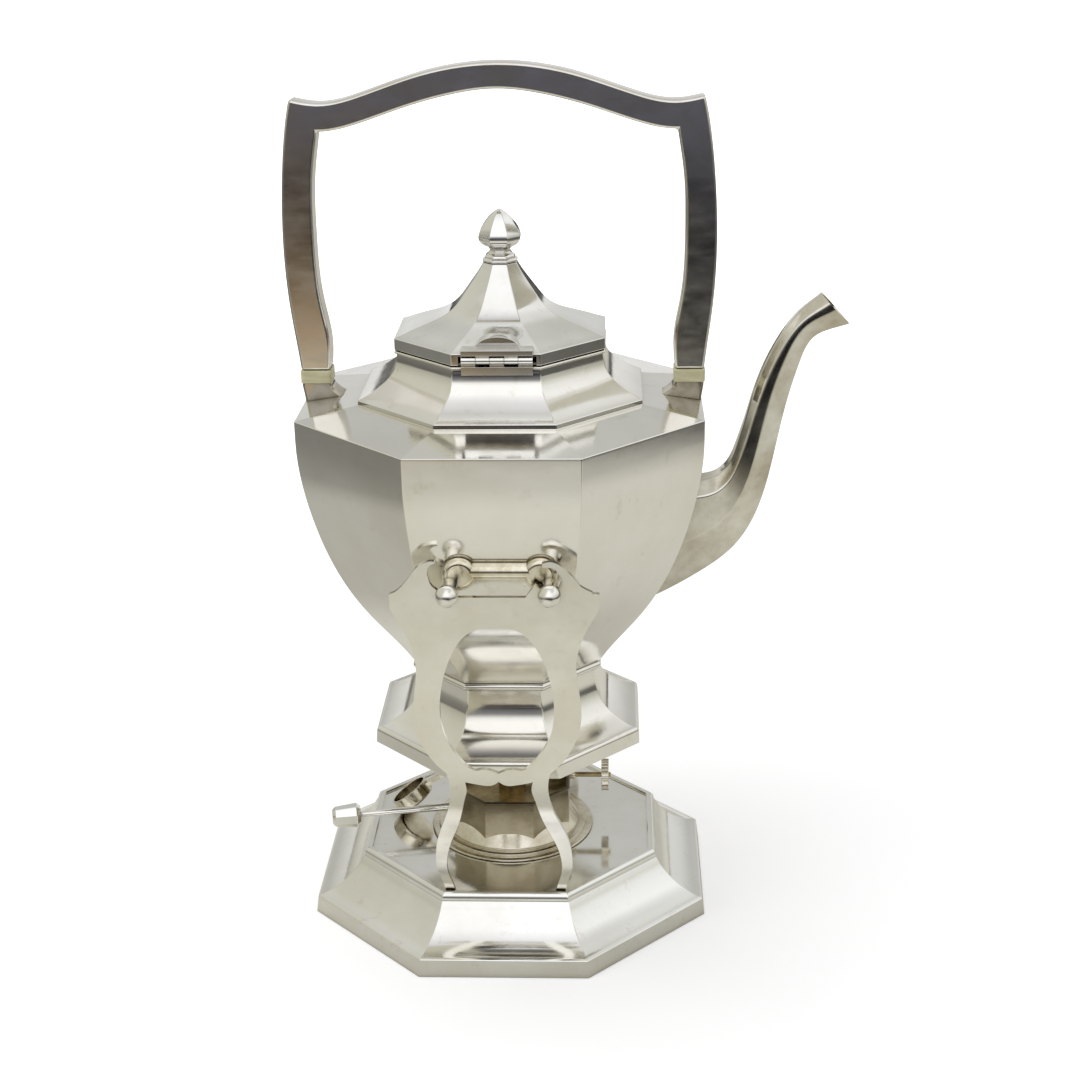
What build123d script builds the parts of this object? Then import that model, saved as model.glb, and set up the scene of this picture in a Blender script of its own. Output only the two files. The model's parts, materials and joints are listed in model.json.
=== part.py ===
from build123d import *
import os
from math import cos, radians, sin

os.makedirs("parts", exist_ok=True)

# Tilting tea kettle with a spirit burner, millimetres.
# The spout points along +X, the front of the stand faces -Y and the table is z = 0.
# Every octagon has flats facing X and Y and is sized by its half width across flats.

# driving sizes
base_half = 78.1            # foot of the stand, half width across flats
base_band = 7.0             # upright band round the foot of the stand
plateau_level = 23.5        # flat top of the stand's base
body_half = 75.0            # kettle body
body_bottom = 103.5         # underside of the kettle body
body_height = 102.8         # from there to the sharp edge between bowl and shoulder
mouth_half = 38.9           # rolled edge of the mouth
collar_height = 22.5        # from the sharp edge to the rolled edge
handle_rise = 112.4         # handle above its insulators
handle_depth = 10.0         # handle, front to back
pivot_x = 19.5              # pins that the kettle tilts on
rest_x = -16.0              # pins that stop the tilt
drum_half = 23.5            # drum of the spirit lamp
drum_top = 45.0
spindle_y = 7.0             # axis of the wick winder

# sizes that follow
plateau_half = 0.712 * base_half
shoulder_level = body_bottom + body_height
collar_top = shoulder_level + collar_height
neck_half = 0.4907 * body_half
pin_level = body_bottom + 55.7
plate_front = body_half + 3.0       # front face of an upright
hinge_y = -(mouth_half + 1.5)       # axis of the lid hinge
hinge_z = collar_top + 2.8
spindle_z = drum_top - 3.2

# sheet thicknesses and clearances
bowl_wall = 1.2
base_wall = 1.5
lamp_wall = 1.0
plate_thick = 2.0
running_fit = 0.05          # radial play of a pin that turns
seat_gap = 0.1              # between two pieces that only rest on each other
lid_gap = 0.4               # lid rim above the rolled edge

far = 200.0                 # longer than any piece, for cuts


def octagonal(outline):
    """Solid with an octagon at every level, from half of its outline in X and Z."""
    with BuildPart() as block:
        for turn in range(4):
            with BuildSketch(Plane.XZ.rotated((0, 0, 45 * turn))):
                add(outline)
                mirror(outline, about=Plane.YZ)
            extrude(amount=far, both=True, mode=Mode.INTERSECT if turn else Mode.ADD)
    return block.part


def octagon_prism(half_width, bottom, top):
    """Straight octagonal block between two levels."""
    with BuildPart() as block:
        with BuildSketch(Plane.XY.offset(bottom)):
            RegularPolygon(half_width, 8, major_radius=False, rotation=22.5)
        extrude(amount=top - bottom)
    return block.part


def save(piece, name):
    """Label one finished piece and write its file."""
    piece.part.label = name
    export_step(piece.part, f"parts/{name}.step")


# Stand: base

ridge_level = plateau_level + 1.0       # rounded ridge round the plateau
cove_width = base_half - plateau_half
cove_height = plateau_level - base_band


def on_cove(out, up):
    """Point of the base's hollow moulding, as shares of its width and height."""
    return plateau_half + out * cove_width, base_band + up * cove_height


with BuildSketch() as base_outline:
    with BuildLine():
        foot = Line((0, 0), (base_half, 0))
        band = Line(foot @ 1, (base_half - 0.9, base_band))
        ledge = Line(band @ 1, (base_half - 2.0, base_band + 0.5))
        cove = Spline(ledge @ 1, on_cove(0.64, 0.164), on_cove(0.378, 0.436), on_cove(0.187, 0.788),
                      tangents=((-1, 0.15), (-0.45, 1)))
        step = Line(cove @ 1, on_cove(0.142, 0.885))
        ridge = ThreePointArc(step @ 1, (plateau_half + 2.4, plateau_level + 0.5),
                              (plateau_half + 0.8, ridge_level))
        top = Line(ridge @ 1, (0, ridge_level))
        Line(top @ 1, foot @ 0)
    make_face()

inner_band = base_half - base_wall - 0.6
with BuildSketch() as base_hollow:
    with BuildLine():
        foot = Line((0, -1), (inner_band, -1))
        band = Line(foot @ 1, (inner_band, base_band - 1.0))
        cove = Spline(band @ 1, on_cove(0.613, 0.073), on_cove(0.329, 0.358), on_cove(0.133, 0.691),
                      tangents=((-1, 0.15), (-0.45, 1)))
        top = Polyline(cove @ 1, (plateau_half, plateau_level - base_wall), (0, plateau_level - base_wall))
        Line(top @ 1, foot @ 0)
    make_face()

font_half = drum_half + 1.1     # part of the lamp that stands in the well
well_bore = font_half + 0.9
well_wall = 1.0
well_floor = 9.5
with BuildPart() as base_shell:
    add(octagonal(base_outline.sketch))
    add(octagonal(base_hollow.sketch), mode=Mode.SUBTRACT)
    add(octagon_prism(plateau_half, plateau_level, ridge_level + 1), mode=Mode.SUBTRACT)
    add(octagon_prism(well_bore, well_floor, ridge_level + 1), mode=Mode.SUBTRACT)
save(base_shell, "base_shell")

closing_sheet = 1.2
with BuildPart() as base_plate:
    add(octagon_prism(inner_band, 0, closing_sheet))
save(base_plate, "base_plate")

with BuildPart() as lamp_well:
    add(octagon_prism(well_bore + well_wall, well_floor, plateau_level - base_wall))
    add(octagon_prism(well_bore, well_floor + well_wall, ridge_level), mode=Mode.SUBTRACT)
save(lamp_well, "lamp_well")

# Stand: uprights, a bent sheet pierced and cut to a shaped outline

pin_radius = 2.9
trough_floor = pin_level - pin_radius - running_fit
notch = pin_radius + running_fit
tip_x = 36.9
leg_rise = pin_level - plateau_level
sheet_y = -plate_front + plate_thick / 2
foot_y = -plateau_half + plate_thick    # middle of the sheet where it stands on the plateau


def on_bend(out, up):
    """Point of the bent sheet's middle, as shares from the foot to the upright part and to the pins."""
    return foot_y + out * (sheet_y - foot_y), plateau_level + up * leg_rise


with BuildSketch() as bent_sheet:
    with BuildLine():
        flat = Line((sheet_y, pin_level + 16.8), on_bend(1, 0.475))
        Spline(flat @ 1, on_bend(0.802, 0.35), on_bend(0.444, 0.24), on_bend(0.178, 0.122),
               on_bend(0.034, 0.026), on_bend(0, -0.026), tangents=((0, -1), (0.05, -1)))
    trace(line_width=plate_thick)


def at(x, above):
    """Point of the upright's outline, by its height above the pins."""
    return x, pin_level + above


def on_leg(x, up):
    """Point of a leg, by its share of the way from the plateau to the pins."""
    return x, plateau_level + up * leg_rise


with BuildSketch() as shield:
    with BuildLine():
        left_wall = Spline(at(-20.4, 9.9), at(-22.6, 8.6), at(-23.2, 6.6), at(-22.8, 4.0),
                           at(-21.2, 0.8), at(-19.2, -1.7), (rest_x, trough_floor),
                           tangents=((-1, -0.3), (1, 0)))
        floor = Line(left_wall @ 1, (pivot_x - 8.5, trough_floor))
        lip = Line(floor @ 1, at(pivot_x - 5.1, 1.8))
        entry = Line(lip @ 1, at(pivot_x - notch, 0))
        cradle = ThreePointArc(entry @ 1, (pivot_x, trough_floor), at(pivot_x + notch, 0))
        right_wall = Spline(cradle @ 1, at(pivot_x + 4.1, 3.4), at(pivot_x + 2.6, 6.8),
                            at(pivot_x - 2.4, 8.3), tangents=((0.2, 1), (-1, 0)))
        beak = Line(right_wall @ 1, at(pivot_x - 2.6, 9.8))
        slope = Spline(beak @ 1, at(pivot_x, 10.4), at(22.6, 9.5), at(25.4, 7.2), at(28.8, 3.3),
                       at(31.8, 0.2), at(34.6, -1.4), at(tip_x, -1.7), tangents=((1, 0.2), (1, 0)))
        tip = Line(slope @ 1, at(tip_x, -6.8))
        side = Spline(tip @ 1, on_leg(33.0, 0.895), on_leg(28.5, 0.777), on_leg(30.3, 0.643),
                      on_leg(24.8, 0.517), on_leg(12.0, 0.441), on_leg(6.0, 0.431), on_leg(0, 0.443),
                      tangents=((-0.35, -1), (-1, 1)))
        mirror(side, about=Plane.YZ)
        other_tip = Line(at(-tip_x, -6.8), at(-tip_x, -1.7))
        other_slope = Spline(other_tip @ 1, at(-33.8, -0.1), at(-29.4, 5.0), at(-26.2, 8.9), at(-23.3, 10.4),
                             at(-20.6, 10.6), tangents=((1, 0.15), (1, -0.1)))
        Line(other_slope @ 1, left_wall @ 0)
    make_face()

with BuildSketch() as window:
    with BuildLine():
        flank = Spline(on_leg(0, 0.896), on_leg(15.3, 0.822), on_leg(20.5, 0.652), on_leg(16.0, 0.534),
                       on_leg(8.5, 0.477), on_leg(0, 0.468), tangents=((1, 0), (-1, -0.5)))
        mirror(flank, about=Plane.YZ)
    make_face()

with BuildSketch() as leg:
    with BuildLine():
        outer = Spline(on_leg(20.6, 0.505), on_leg(17.9, 0.416), on_leg(20.5, 0.306), on_leg(25.6, 0.166),
                       on_leg(25.8, 0.077), on_leg(23.0, 0), tangents=((-0.5, -1), (-0.2, -1)))
        sole = Line(outer @ 1, on_leg(19.4, 0))
        inner = Spline(sole @ 1, on_leg(21.8, 0.07), on_leg(21.2, 0.151), on_leg(15.6, 0.284),
                       on_leg(12.6, 0.387), on_leg(14.0, 0.475), tangents=((0.2, 1), (0.4, 1)))
        Line(inner @ 1, outer @ 0)
    make_face()

with BuildPart() as front_upright:
    with BuildSketch(Plane.XZ):
        add(shield.sketch)
        add(leg.sketch)
        mirror(leg.sketch, about=Plane.YZ)
        add(window.sketch, mode=Mode.SUBTRACT)
    extrude(amount=90)
    with BuildSketch(Plane.YZ):
        add(bent_sheet.sketch)
    extrude(amount=60, both=True, mode=Mode.INTERSECT)
save(front_upright, "front_upright")

with BuildPart() as rear_upright:
    add(mirror(front_upright.part, about=Plane.XZ))
save(rear_upright, "rear_upright")

# Kettle: body

def on_body(across, up):
    """Point of the bowl, as shares of its half width and height."""
    return across * body_half, body_bottom + up * body_height


def on_collar(out, up):
    """Point of the shoulder or collar, out from the rolled edge and as a share of the height."""
    return mouth_half + out, shoulder_level + up * collar_height


with BuildSketch() as vessel_outline:
    with BuildLine():
        base = Line((0, body_bottom), (neck_half - 0.6, body_bottom))
        turn = Line(base @ 1, (neck_half + 0.2, body_bottom + 1.1))
        side = Spline(turn @ 1, on_body(0.688, 0.209), on_body(0.813, 0.365), on_body(0.941, 0.627),
                      on_body(1, 0.929), tangents=((0.6, 1), (0, 1)))
        rim = Line(side @ 1, (body_half, shoulder_level))
        slope = Line(rim @ 1, on_collar(13.6, 0.151))
        step = Line(slope @ 1, on_collar(13.5, 0.231))
        collar = Spline(step @ 1, on_collar(5.1, 0.444), on_collar(0.8, 0.636), on_collar(-0.9, 0.947),
                        tangents=((-1, 0.35), (-0.05, 1)))
        edge = ThreePointArc(collar @ 1, on_collar(0, 0.969), on_collar(-0.5, 1))
        top = Line(edge @ 1, (0, collar_top))
        Line(top @ 1, base @ 0)
    make_face()

mouth_bore = mouth_half - 2.1
wall_x = body_half - bowl_wall
with BuildSketch() as vessel_hollow:
    with BuildLine():
        base = Line((0, body_bottom + bowl_wall), (neck_half - 1.0, body_bottom + bowl_wall))
        side = Spline(base @ 1, on_body(0.671, 0.216), on_body(0.797, 0.371), on_body(0.925, 0.629),
                      (wall_x, on_body(1, 0.929)[1]), tangents=((0.6, 1), (0, 1)))
        rim = Line(side @ 1, (wall_x, shoulder_level - bowl_wall))
        slope = Line(rim @ 1, on_collar(12.5, 0.098))
        collar = Spline(slope @ 1, on_collar(4.5, 0.382), on_collar(-0.3, 0.618), on_collar(-2.1, 0.938),
                        tangents=((-0.6, 1), (0, 1)))
        mouth = Polyline(collar @ 1, (mouth_bore, collar_top + 1), (0, collar_top + 1))
        Line(mouth @ 1, base @ 0)
    make_face()

vessel = octagonal(vessel_outline.sketch)
vessel_inside = octagonal(vessel_hollow.sketch)
seam = shoulder_level - bowl_wall

spout_hole = 5.0
strainer_level = body_bottom + 0.491 * body_height
with BuildPart() as kettle_bowl:
    add(vessel)
    add(vessel_inside, mode=Mode.SUBTRACT)
    split(bisect_by=Plane.XY.offset(seam), keep=Keep.BOTTOM)
    with BuildSketch(Plane.YZ.offset(neck_half)):
        with Locations((0, strainer_level)):
            Circle(spout_hole / 2)
            with PolarLocations(1.5 * spout_hole, 6):
                Circle(spout_hole / 2)
    extrude(amount=body_half - neck_half, mode=Mode.SUBTRACT)
save(kettle_bowl, "kettle_bowl")

with BuildPart() as kettle_shoulder:
    add(vessel)
    add(vessel_inside, mode=Mode.SUBTRACT)
    split(bisect_by=Plane.XY.offset(seam), keep=Keep.TOP)
save(kettle_shoulder, "kettle_shoulder")

# Kettle: foot and the ring round its neck

foot_bottom = body_bottom - 32.5
ring_bottom = body_bottom - 3.5
ring_bore = neck_half - 3.8
with BuildSketch() as ring_outline:
    with BuildLine():
        floor = Line((0, ring_bottom), (neck_half - 1.2, ring_bottom))
        bulge = ThreePointArc(floor @ 1, (neck_half, (ring_bottom + body_bottom) / 2),
                              (neck_half - 1.2, body_bottom))
        Polyline(bulge @ 1, (0, body_bottom), floor @ 0)
    make_face()

with BuildPart() as neck_ring:
    add(octagonal(ring_outline.sketch))
    add(octagon_prism(ring_bore, ring_bottom - 1, body_bottom + 1), mode=Mode.SUBTRACT)
save(neck_ring, "neck_ring")

foot_half = neck_half + 15.1
foot_band_top = foot_bottom + 4.6


def on_foot(out, up):
    """Point of the foot, out from the neck and up from the foot's underside."""
    return neck_half + out, foot_bottom + up


with BuildSketch() as foot_outline:
    with BuildLine():
        floor = Line((0, foot_bottom), (foot_half, foot_bottom))
        band = Line(floor @ 1, (foot_half - 0.3, foot_band_top))
        bead = ThreePointArc(band @ 1, on_foot(14.2, 6.2), on_foot(12.8, 6.6))
        cove = Spline(bead @ 1, on_foot(6.2, 9.6), on_foot(1.8, 13.4), on_foot(-1.3, 19.4),
                      (neck_half - 2.6, ring_bottom), tangents=((-1, 0.25), (0, 1)))
        top = Line(cove @ 1, (0, ring_bottom))
        Line(top @ 1, floor @ 0)
    make_face()

with BuildSketch() as foot_hollow:
    with BuildLine():
        floor = Line((0, foot_bottom - 1), (foot_half - 1.5, foot_bottom - 1))
        band = Line(floor @ 1, (foot_half - 1.5, foot_band_top - 0.4))
        cove = Spline(band @ 1, on_foot(5.4, 8.4), on_foot(0.5, 12.6), on_foot(-2.6, 19.0),
                      (ring_bore, ring_bottom), tangents=((-1, 0.25), (0, 1)))
        top = Polyline(cove @ 1, (ring_bore, ring_bottom + 1), (0, ring_bottom + 1))
        Line(top @ 1, floor @ 0)
    make_face()

with BuildPart() as kettle_foot:
    add(octagonal(foot_outline.sketch))
    add(octagonal(foot_hollow.sketch), mode=Mode.SUBTRACT)
save(kettle_foot, "kettle_foot")

# Kettle: spout, lofted through octagons that turn along an S.
# Each station gives the upper and lower edge in side view, the half width
# and how far down the side the upper crease lies.

stations = [
    (on_body(0.8800, 0.6780), on_body(0.5867, 0.1605), 13.0, 0.06),
    (on_body(1.0067, 0.6887), on_body(0.8200, 0.2432), 12.6, 0.08),
    (on_body(1.0747, 0.7023), on_body(1.0000, 0.3200), 11.4, 0.10),
    (on_body(1.1360, 0.7442), on_body(1.1733, 0.4193), 9.6, 0.12),
    (on_body(1.1813, 0.8259), on_body(1.3013, 0.5827), 7.8, 0.14),
    (on_body(1.2213, 0.9232), on_body(1.3787, 0.8123), 6.6, 0.16),
    (on_body(1.2747, 1.0593), on_body(1.4347, 1.0049), 6.0, 0.19),
    (on_body(1.3493, 1.1877), on_body(1.4880, 1.1372), 5.5, 0.22),
    (on_body(1.4613, 1.3103), on_body(1.5680, 1.2344), 5.1, 0.24),
    (on_body(1.5813, 1.3852), on_body(1.7227, 1.2733), 4.8, 0.26),
]
spout_wall = 0.9
lower_crease = 0.49
flat_share = 0.36


def spout_section(upper, lower, half_width, crease, inset):
    """Octagon across the spout, flat top and bottom, with two creases down each side."""
    upper = Vector(upper[0], 0, upper[1])
    lower = Vector(lower[0], 0, lower[1])
    down = (lower - upper).normalized()
    depth = (lower - upper).length - 2 * inset
    start = upper + down * inset
    half = half_width - inset
    across = Plane(origin=start, x_dir=(0, 1, 0), z_dir=Vector(0, 1, 0).cross(down))
    flat = half * flat_share
    right = [(flat, 0), (half, crease * depth), (half, lower_crease * depth), (flat, depth)]
    left = [(-x, y) for x, y in reversed(right)]
    with BuildSketch(across) as section:
        Polygon(*right, *left, align=None)
    return section.sketch


with BuildPart() as spout_body:
    for upper, lower, half_width, crease in stations:
        add(spout_section(upper, lower, half_width, crease, 0))
    loft()

with BuildPart() as spout_bore:
    for upper, lower, half_width, crease in stations:
        add(spout_section(upper, lower, half_width, crease, spout_wall))
    loft()

with BuildPart() as spout:
    add(spout_body.part)
    add(spout_bore.part, mode=Mode.SUBTRACT)
    add(vessel, mode=Mode.SUBTRACT)
save(spout, "spout")

# Kettle: brackets with the pins that hang in the uprights

bracket_face = plate_front - 4.4
rod_radius = 3.3
boss_radius = 6.2
boss_shift = 3.4            # each boss stands above its pin and nearer to the middle
ball_radius = 4.2
ball_y = plate_front + 6.0
boss_level = pin_level + boss_shift
root_y = bracket_face - 14.0    # inside the kettle's wall, before the wall is cut away

with BuildPart() as pin_blanks:
    with BuildSketch(Plane.XZ.offset(root_y)):
        with Locations((rest_x, pin_level), (pivot_x, pin_level)):
            Circle(pin_radius)
    extrude(amount=ball_y - root_y)

with BuildPart() as front_bracket:
    with BuildSketch(Plane.XZ.offset(root_y)):
        with Locations((rest_x + boss_shift, boss_level), (pivot_x - boss_shift, boss_level)):
            Circle(boss_radius)
    extrude(amount=bracket_face - root_y)
    fillet(front_bracket.faces().filter_by(Axis.Y).sort_by(Axis.Y)[0:2].edges(), 2.4)
    with BuildSketch(Plane.YZ.offset(rest_x + boss_shift)):
        with Locations((rod_radius - bracket_face, boss_level + 0.8)):
            Circle(rod_radius)
    extrude(amount=pivot_x - rest_x - 2 * boss_shift)
    add(pin_blanks.part, mode=Mode.SUBTRACT)
    add(vessel, mode=Mode.SUBTRACT)
save(front_bracket, "front_bracket")

with BuildPart() as rear_bracket:
    add(mirror(front_bracket.part, about=Plane.XZ))
save(rear_bracket, "rear_bracket")


def pins_at(x):
    """The front and the rear pin at one place, each with a ball end."""
    with BuildPart() as pins:
        with BuildSketch(Plane.XZ.offset(root_y)):
            with Locations((x, pin_level)):
                Circle(pin_radius)
        extrude(amount=ball_y - root_y)
        with Locations((x, -ball_y, pin_level)):
            Sphere(ball_radius)
        mirror(about=Plane.XZ)
        add(vessel, mode=Mode.SUBTRACT)
    return pins


save(pins_at(pivot_x), "pivot_pins")
save(pins_at(rest_x), "rest_pins")

# Kettle: handle, ring insulators and the sockets on the shoulder

joint_top = shoulder_level + 12.0
ring_height = 4.9
joint_bottom = joint_top - ring_height
half_depth = handle_depth / 2
arm_x = 0.936 * body_half   # middle of an arm where it stands on its ring
tongue = (6.0, 5.0)         # tongue of an insulator, along X and Y
tongue_up = 5.5             # into the arm
tongue_down = 3.5           # into the socket
tongue_play = 0.5           # beyond the tongue's ends


def on_arm(across, up):
    """Point of the handle's left half, as shares of the body's half width and the handle's rise."""
    return -across * body_half, joint_top + up * handle_rise


with BuildSketch() as handle_outline:
    with BuildLine():
        outer = Spline(on_arm(1.008, 0), on_arm(1.048, 0.225), on_arm(1.0613, 0.46), on_arm(1.0413, 0.682),
                       on_arm(0.992, 0.8915), tangents=((-0.1, 1), (0.25, 1)))
        top = Spline(outer @ 1, on_arm(0.8493, 0.877), on_arm(0.664, 0.902), on_arm(0.36, 0.968),
                     on_arm(0, 1), tangents=((1, -0.25), (1, 0)))
        middle = Line(top @ 1, on_arm(0, 0.917))
        under = Spline(middle @ 1, on_arm(0.216, 0.9), on_arm(0.437, 0.862), on_arm(0.667, 0.811),
                       on_arm(0.865, 0.787), tangents=((-1, 0), (-1, 0.02)))
        inner = Spline(under @ 1, on_arm(0.899, 0.638), on_arm(0.908, 0.46), on_arm(0.888, 0.225),
                       on_arm(0.857, 0.095), on_arm(0.864, 0), tangents=((-0.15, -1), (-0.1, -1)))
        Line(inner @ 1, outer @ 0)
    make_face()
    mirror(about=Plane.YZ)

with BuildPart() as handle:
    with BuildSketch(Plane.XZ):
        add(handle_outline.sketch)
    extrude(amount=half_depth, both=True)
    chamfer(handle.faces().filter_by(Axis.Y).edges(), 1.1)
    with Locations((-arm_x, 0, joint_top), (arm_x, 0, joint_top)):
        Box(*tongue, 2 * (tongue_up + tongue_play), mode=Mode.SUBTRACT)
save(handle, "handle")

socket_inner = 0.797
with BuildSketch() as socket_outline:
    with BuildLine():
        outer = Spline(on_arm(1.008, -ring_height / handle_rise), (-body_half, shoulder_level + 2.7),
                       (0.4 - body_half, shoulder_level - 1.3), tangents=((0, -1), (0.05, -1)))
        foot = Line(outer @ 1, (-socket_inner * body_half, shoulder_level - 1.3))
        inner = Spline((-socket_inner * body_half, shoulder_level + 2.1),
                       (-0.835 * body_half, shoulder_level + 3.9),
                       on_arm(0.864, -ring_height / handle_rise), tangents=((-1, 0.3), (-0.1, 1)))
        Line(foot @ 1, inner @ 0)
        Line(inner @ 1, outer @ 0)
    make_face()


def socket(x_sign):
    """Base of one handle arm, seated on the sloping shoulder."""
    with BuildPart() as base:
        with BuildSketch(Plane.XZ):
            if x_sign < 0:
                add(socket_outline.sketch)
            else:
                mirror(socket_outline.sketch, about=Plane.YZ)
        extrude(amount=half_depth, both=True)
        upright_edges = base.edges().filter_by(Axis.Y, reverse=True).filter_by(GeomType.LINE, reverse=True)
        chamfer(upright_edges, 0.9)
        with Locations((x_sign * arm_x, 0, joint_bottom)):
            Box(*tongue, 2 * (tongue_down + tongue_play), mode=Mode.SUBTRACT)
        add(vessel, mode=Mode.SUBTRACT)
    return base


def insulator(x_sign):
    """Pale ring between arm and socket, with a tongue into each."""
    with BuildPart() as ring:
        with BuildSketch(Plane.XY.offset(joint_bottom)):
            with Locations((x_sign * arm_x, 0)):
                RectangleRounded(11.6, handle_depth + 0.8, 1.2)
        extrude(amount=ring_height)
        with Locations((x_sign * arm_x, 0, joint_top)):
            Box(*tongue, 2 * tongue_up)
        with Locations((x_sign * arm_x, 0, joint_bottom)):
            Box(*tongue, 2 * tongue_down)
    return ring


save(socket(-1), "left_socket")
save(socket(1), "right_socket")
save(insulator(-1), "left_insulator")
save(insulator(1), "right_insulator")

# Lid hinge: five knuckles on one pin, three on the body and two on the lid

knuckle_count = 5
knuckle = 5.1
knuckle_radius = 1.5
hinge_pin_radius = 0.8
hinge_middle = 0.5
hinge_start = hinge_middle - knuckle_count * knuckle / 2
leaf_width = knuckle_count * knuckle
leaf_top = collar_top + 0.6


def knuckles(numbers, play):
    """Barrels of one leaf, each short of its slot by a little play at both ends."""
    with BuildPart() as barrels:
        for number in numbers:
            with BuildSketch(Plane.YZ.offset(hinge_start + number * knuckle + play)):
                with Locations((hinge_y, hinge_z)):
                    Circle(knuckle_radius)
            extrude(amount=knuckle - 2 * play)
    return barrels.part


def webs(numbers, play, low, high):
    """Short walls that join the barrels to their leaf."""
    with BuildPart() as walls:
        for number in numbers:
            middle = hinge_start + (number + 0.5) * knuckle
            with Locations((middle, hinge_y, (low + high) / 2)):
                Box(knuckle - 2 * play, 1.6, high - low)
    return walls.part


def hinge_bore(radius):
    """Cylinder along the hinge axis."""
    with BuildPart() as bore:
        with BuildSketch(Plane.YZ.offset(hinge_start - 1)):
            with Locations((hinge_y, hinge_z)):
                Circle(radius)
        extrude(amount=leaf_width + 2)
    return bore.part


end_play = 0.1
with BuildPart() as body_hinge_leaf:
    with Locations((hinge_middle, hinge_y + 0.6, leaf_top - 1.5)):
        Box(leaf_width, 3.2, 3.0)
    add(vessel, mode=Mode.SUBTRACT)
    add(knuckles((0, 2, 4), 0))
    add(webs((0, 2, 4), 0, leaf_top - 0.5, hinge_z))
    add(hinge_bore(hinge_pin_radius), mode=Mode.SUBTRACT)
save(body_hinge_leaf, "body_hinge_leaf")

with BuildPart() as hinge_pin:
    with BuildSketch(Plane.YZ.offset(hinge_start)):
        with Locations((hinge_y, hinge_z)):
            Circle(hinge_pin_radius)
    extrude(amount=leaf_width)
save(hinge_pin, "hinge_pin")

# Lid

lid_bottom = collar_top + lid_gap
lid_band_top = lid_bottom + 4.3
lid_half = mouth_half - 0.15
lid_wall = 1.0
spire_half = 6.1
roof_height = 25.1
roof_top = lid_band_top + roof_height


def on_roof(across, up):
    """Point of the lid's roof, as a share of its half width and up from its band."""
    return across * lid_half, lid_band_top + up


with BuildSketch() as lid_outline:
    with BuildLine():
        floor = Line((0, lid_bottom), (lid_half, lid_bottom))
        band = Line(floor @ 1, (lid_half, lid_band_top))
        roof = Spline(band @ 1, on_roof(0.852, 2.1), on_roof(0.645, 4.9), on_roof(0.465, 8.5),
                      on_roof(0.32, 15.3), (spire_half, roof_top), tangents=((-1, 0.25), (-0.5, 1)))
        top = Line(roof @ 1, (0, roof_top))
        Line(top @ 1, floor @ 0)
    make_face()

with BuildSketch() as lid_hollow:
    with BuildLine():
        floor = Line((0, lid_bottom - 1), (lid_half - lid_wall, lid_bottom - 1))
        band = Line(floor @ 1, (lid_half - lid_wall, lid_band_top - 0.9))
        roof = Spline(band @ 1, on_roof(0.841, 0.9), on_roof(0.635, 3.7), on_roof(0.444, 7.5),
                      on_roof(0.289, 14.1),
                      (spire_half - 0.8, roof_top - 1.4), tangents=((-1, 0.25), (-0.5, 1)))
        top = Line(roof @ 1, (0, roof_top - 1.4))
        Line(top @ 1, floor @ 0)
    make_face()

lid_solid = octagonal(lid_outline.sketch)
stud_radius = 1.5
with BuildPart() as lid_shell:
    add(lid_solid)
    add(octagonal(lid_hollow.sketch), mode=Mode.SUBTRACT)
    with Locations((hinge_middle, -lid_half, (lid_bottom + lid_band_top - 0.9) / 2)):
        Box(leaf_width + 2.5, 6.0, lid_band_top - 0.9 - lid_bottom, mode=Mode.SUBTRACT)
    with Locations((0, 0, roof_top)):
        Cylinder(stud_radius, 10, mode=Mode.SUBTRACT)
save(lid_shell, "lid_shell")

bezel_half = mouth_bore - 0.8
bezel_wall = 0.9
bezel_drop = 4.0
with BuildPart() as lid_bezel:
    add(octagon_prism(bezel_half, lid_bottom - bezel_drop, lid_bottom + 0.8))
    add(octagon_prism(lid_half - lid_wall, lid_bottom, lid_bottom + 0.8))
    add(octagon_prism(bezel_half - bezel_wall, lid_bottom - bezel_drop - 1, lid_bottom + 2),
        mode=Mode.SUBTRACT)
save(lid_bezel, "lid_bezel")

tab_half = 8.5
with BuildPart() as lid_hinge_leaf:
    with Locations((hinge_middle, 0.75 - lid_half, lid_band_top + 0.95)):
        Box(leaf_width, 7.2, 1.9)
    with BuildSketch(Plane.XZ.offset(lid_half - 2.75)):
        with Locations((hinge_middle, lid_band_top + 0.1)):
            Ellipse(tab_half, 5.4)
    extrude(amount=-7.0)
    split(bisect_by=Plane.XY.offset(lid_band_top))
    add(lid_solid, mode=Mode.SUBTRACT)
    add(knuckles((1, 3), end_play))
    add(webs((1, 3), end_play, hinge_z, lid_band_top + 0.1))
    add(hinge_bore(hinge_pin_radius + running_fit), mode=Mode.SUBTRACT)
save(lid_hinge_leaf, "lid_hinge_leaf")

stud_length = 11.6


def on_bud(half, above):
    """Point of the finial, up from the lid's roof."""
    return half, roof_top + above


with BuildSketch() as finial_outline:
    with BuildLine():
        floor = Line(on_bud(0, 0), on_bud(5.9, 0))
        bead_one = ThreePointArc(floor @ 1, on_bud(6.4, 0.8), on_bud(5.5, 1.6))
        bead_two = ThreePointArc(bead_one @ 1, on_bud(5.3, 2.4), on_bud(4.3, 3.3))
        neck = Spline(bead_two @ 1, on_bud(3.7, 4.4), on_bud(4.4, 5.6), tangents=((-0.5, 1), (1, 0.8)))
        under = Spline(neck @ 1, on_bud(6.6, 7.0), on_bud(7.7, 9.2), tangents=((1, 0.4), (0, 1)))
        over = Spline(under @ 1, on_bud(6.3, 13.2), on_bud(3.2, 17.2), on_bud(0.4, 19.4),
                      tangents=((0, 1), (-1, 0.6)))
        crown = Line(over @ 1, on_bud(0, 19.4))
        Line(crown @ 1, floor @ 0)
    make_face()

with BuildPart() as finial:
    add(octagonal(finial_outline.sketch))
    with BuildSketch(Plane.XY.offset(roof_top - stud_length)):
        Circle(stud_radius)
    extrude(amount=stud_length)
save(finial, "finial")

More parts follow.
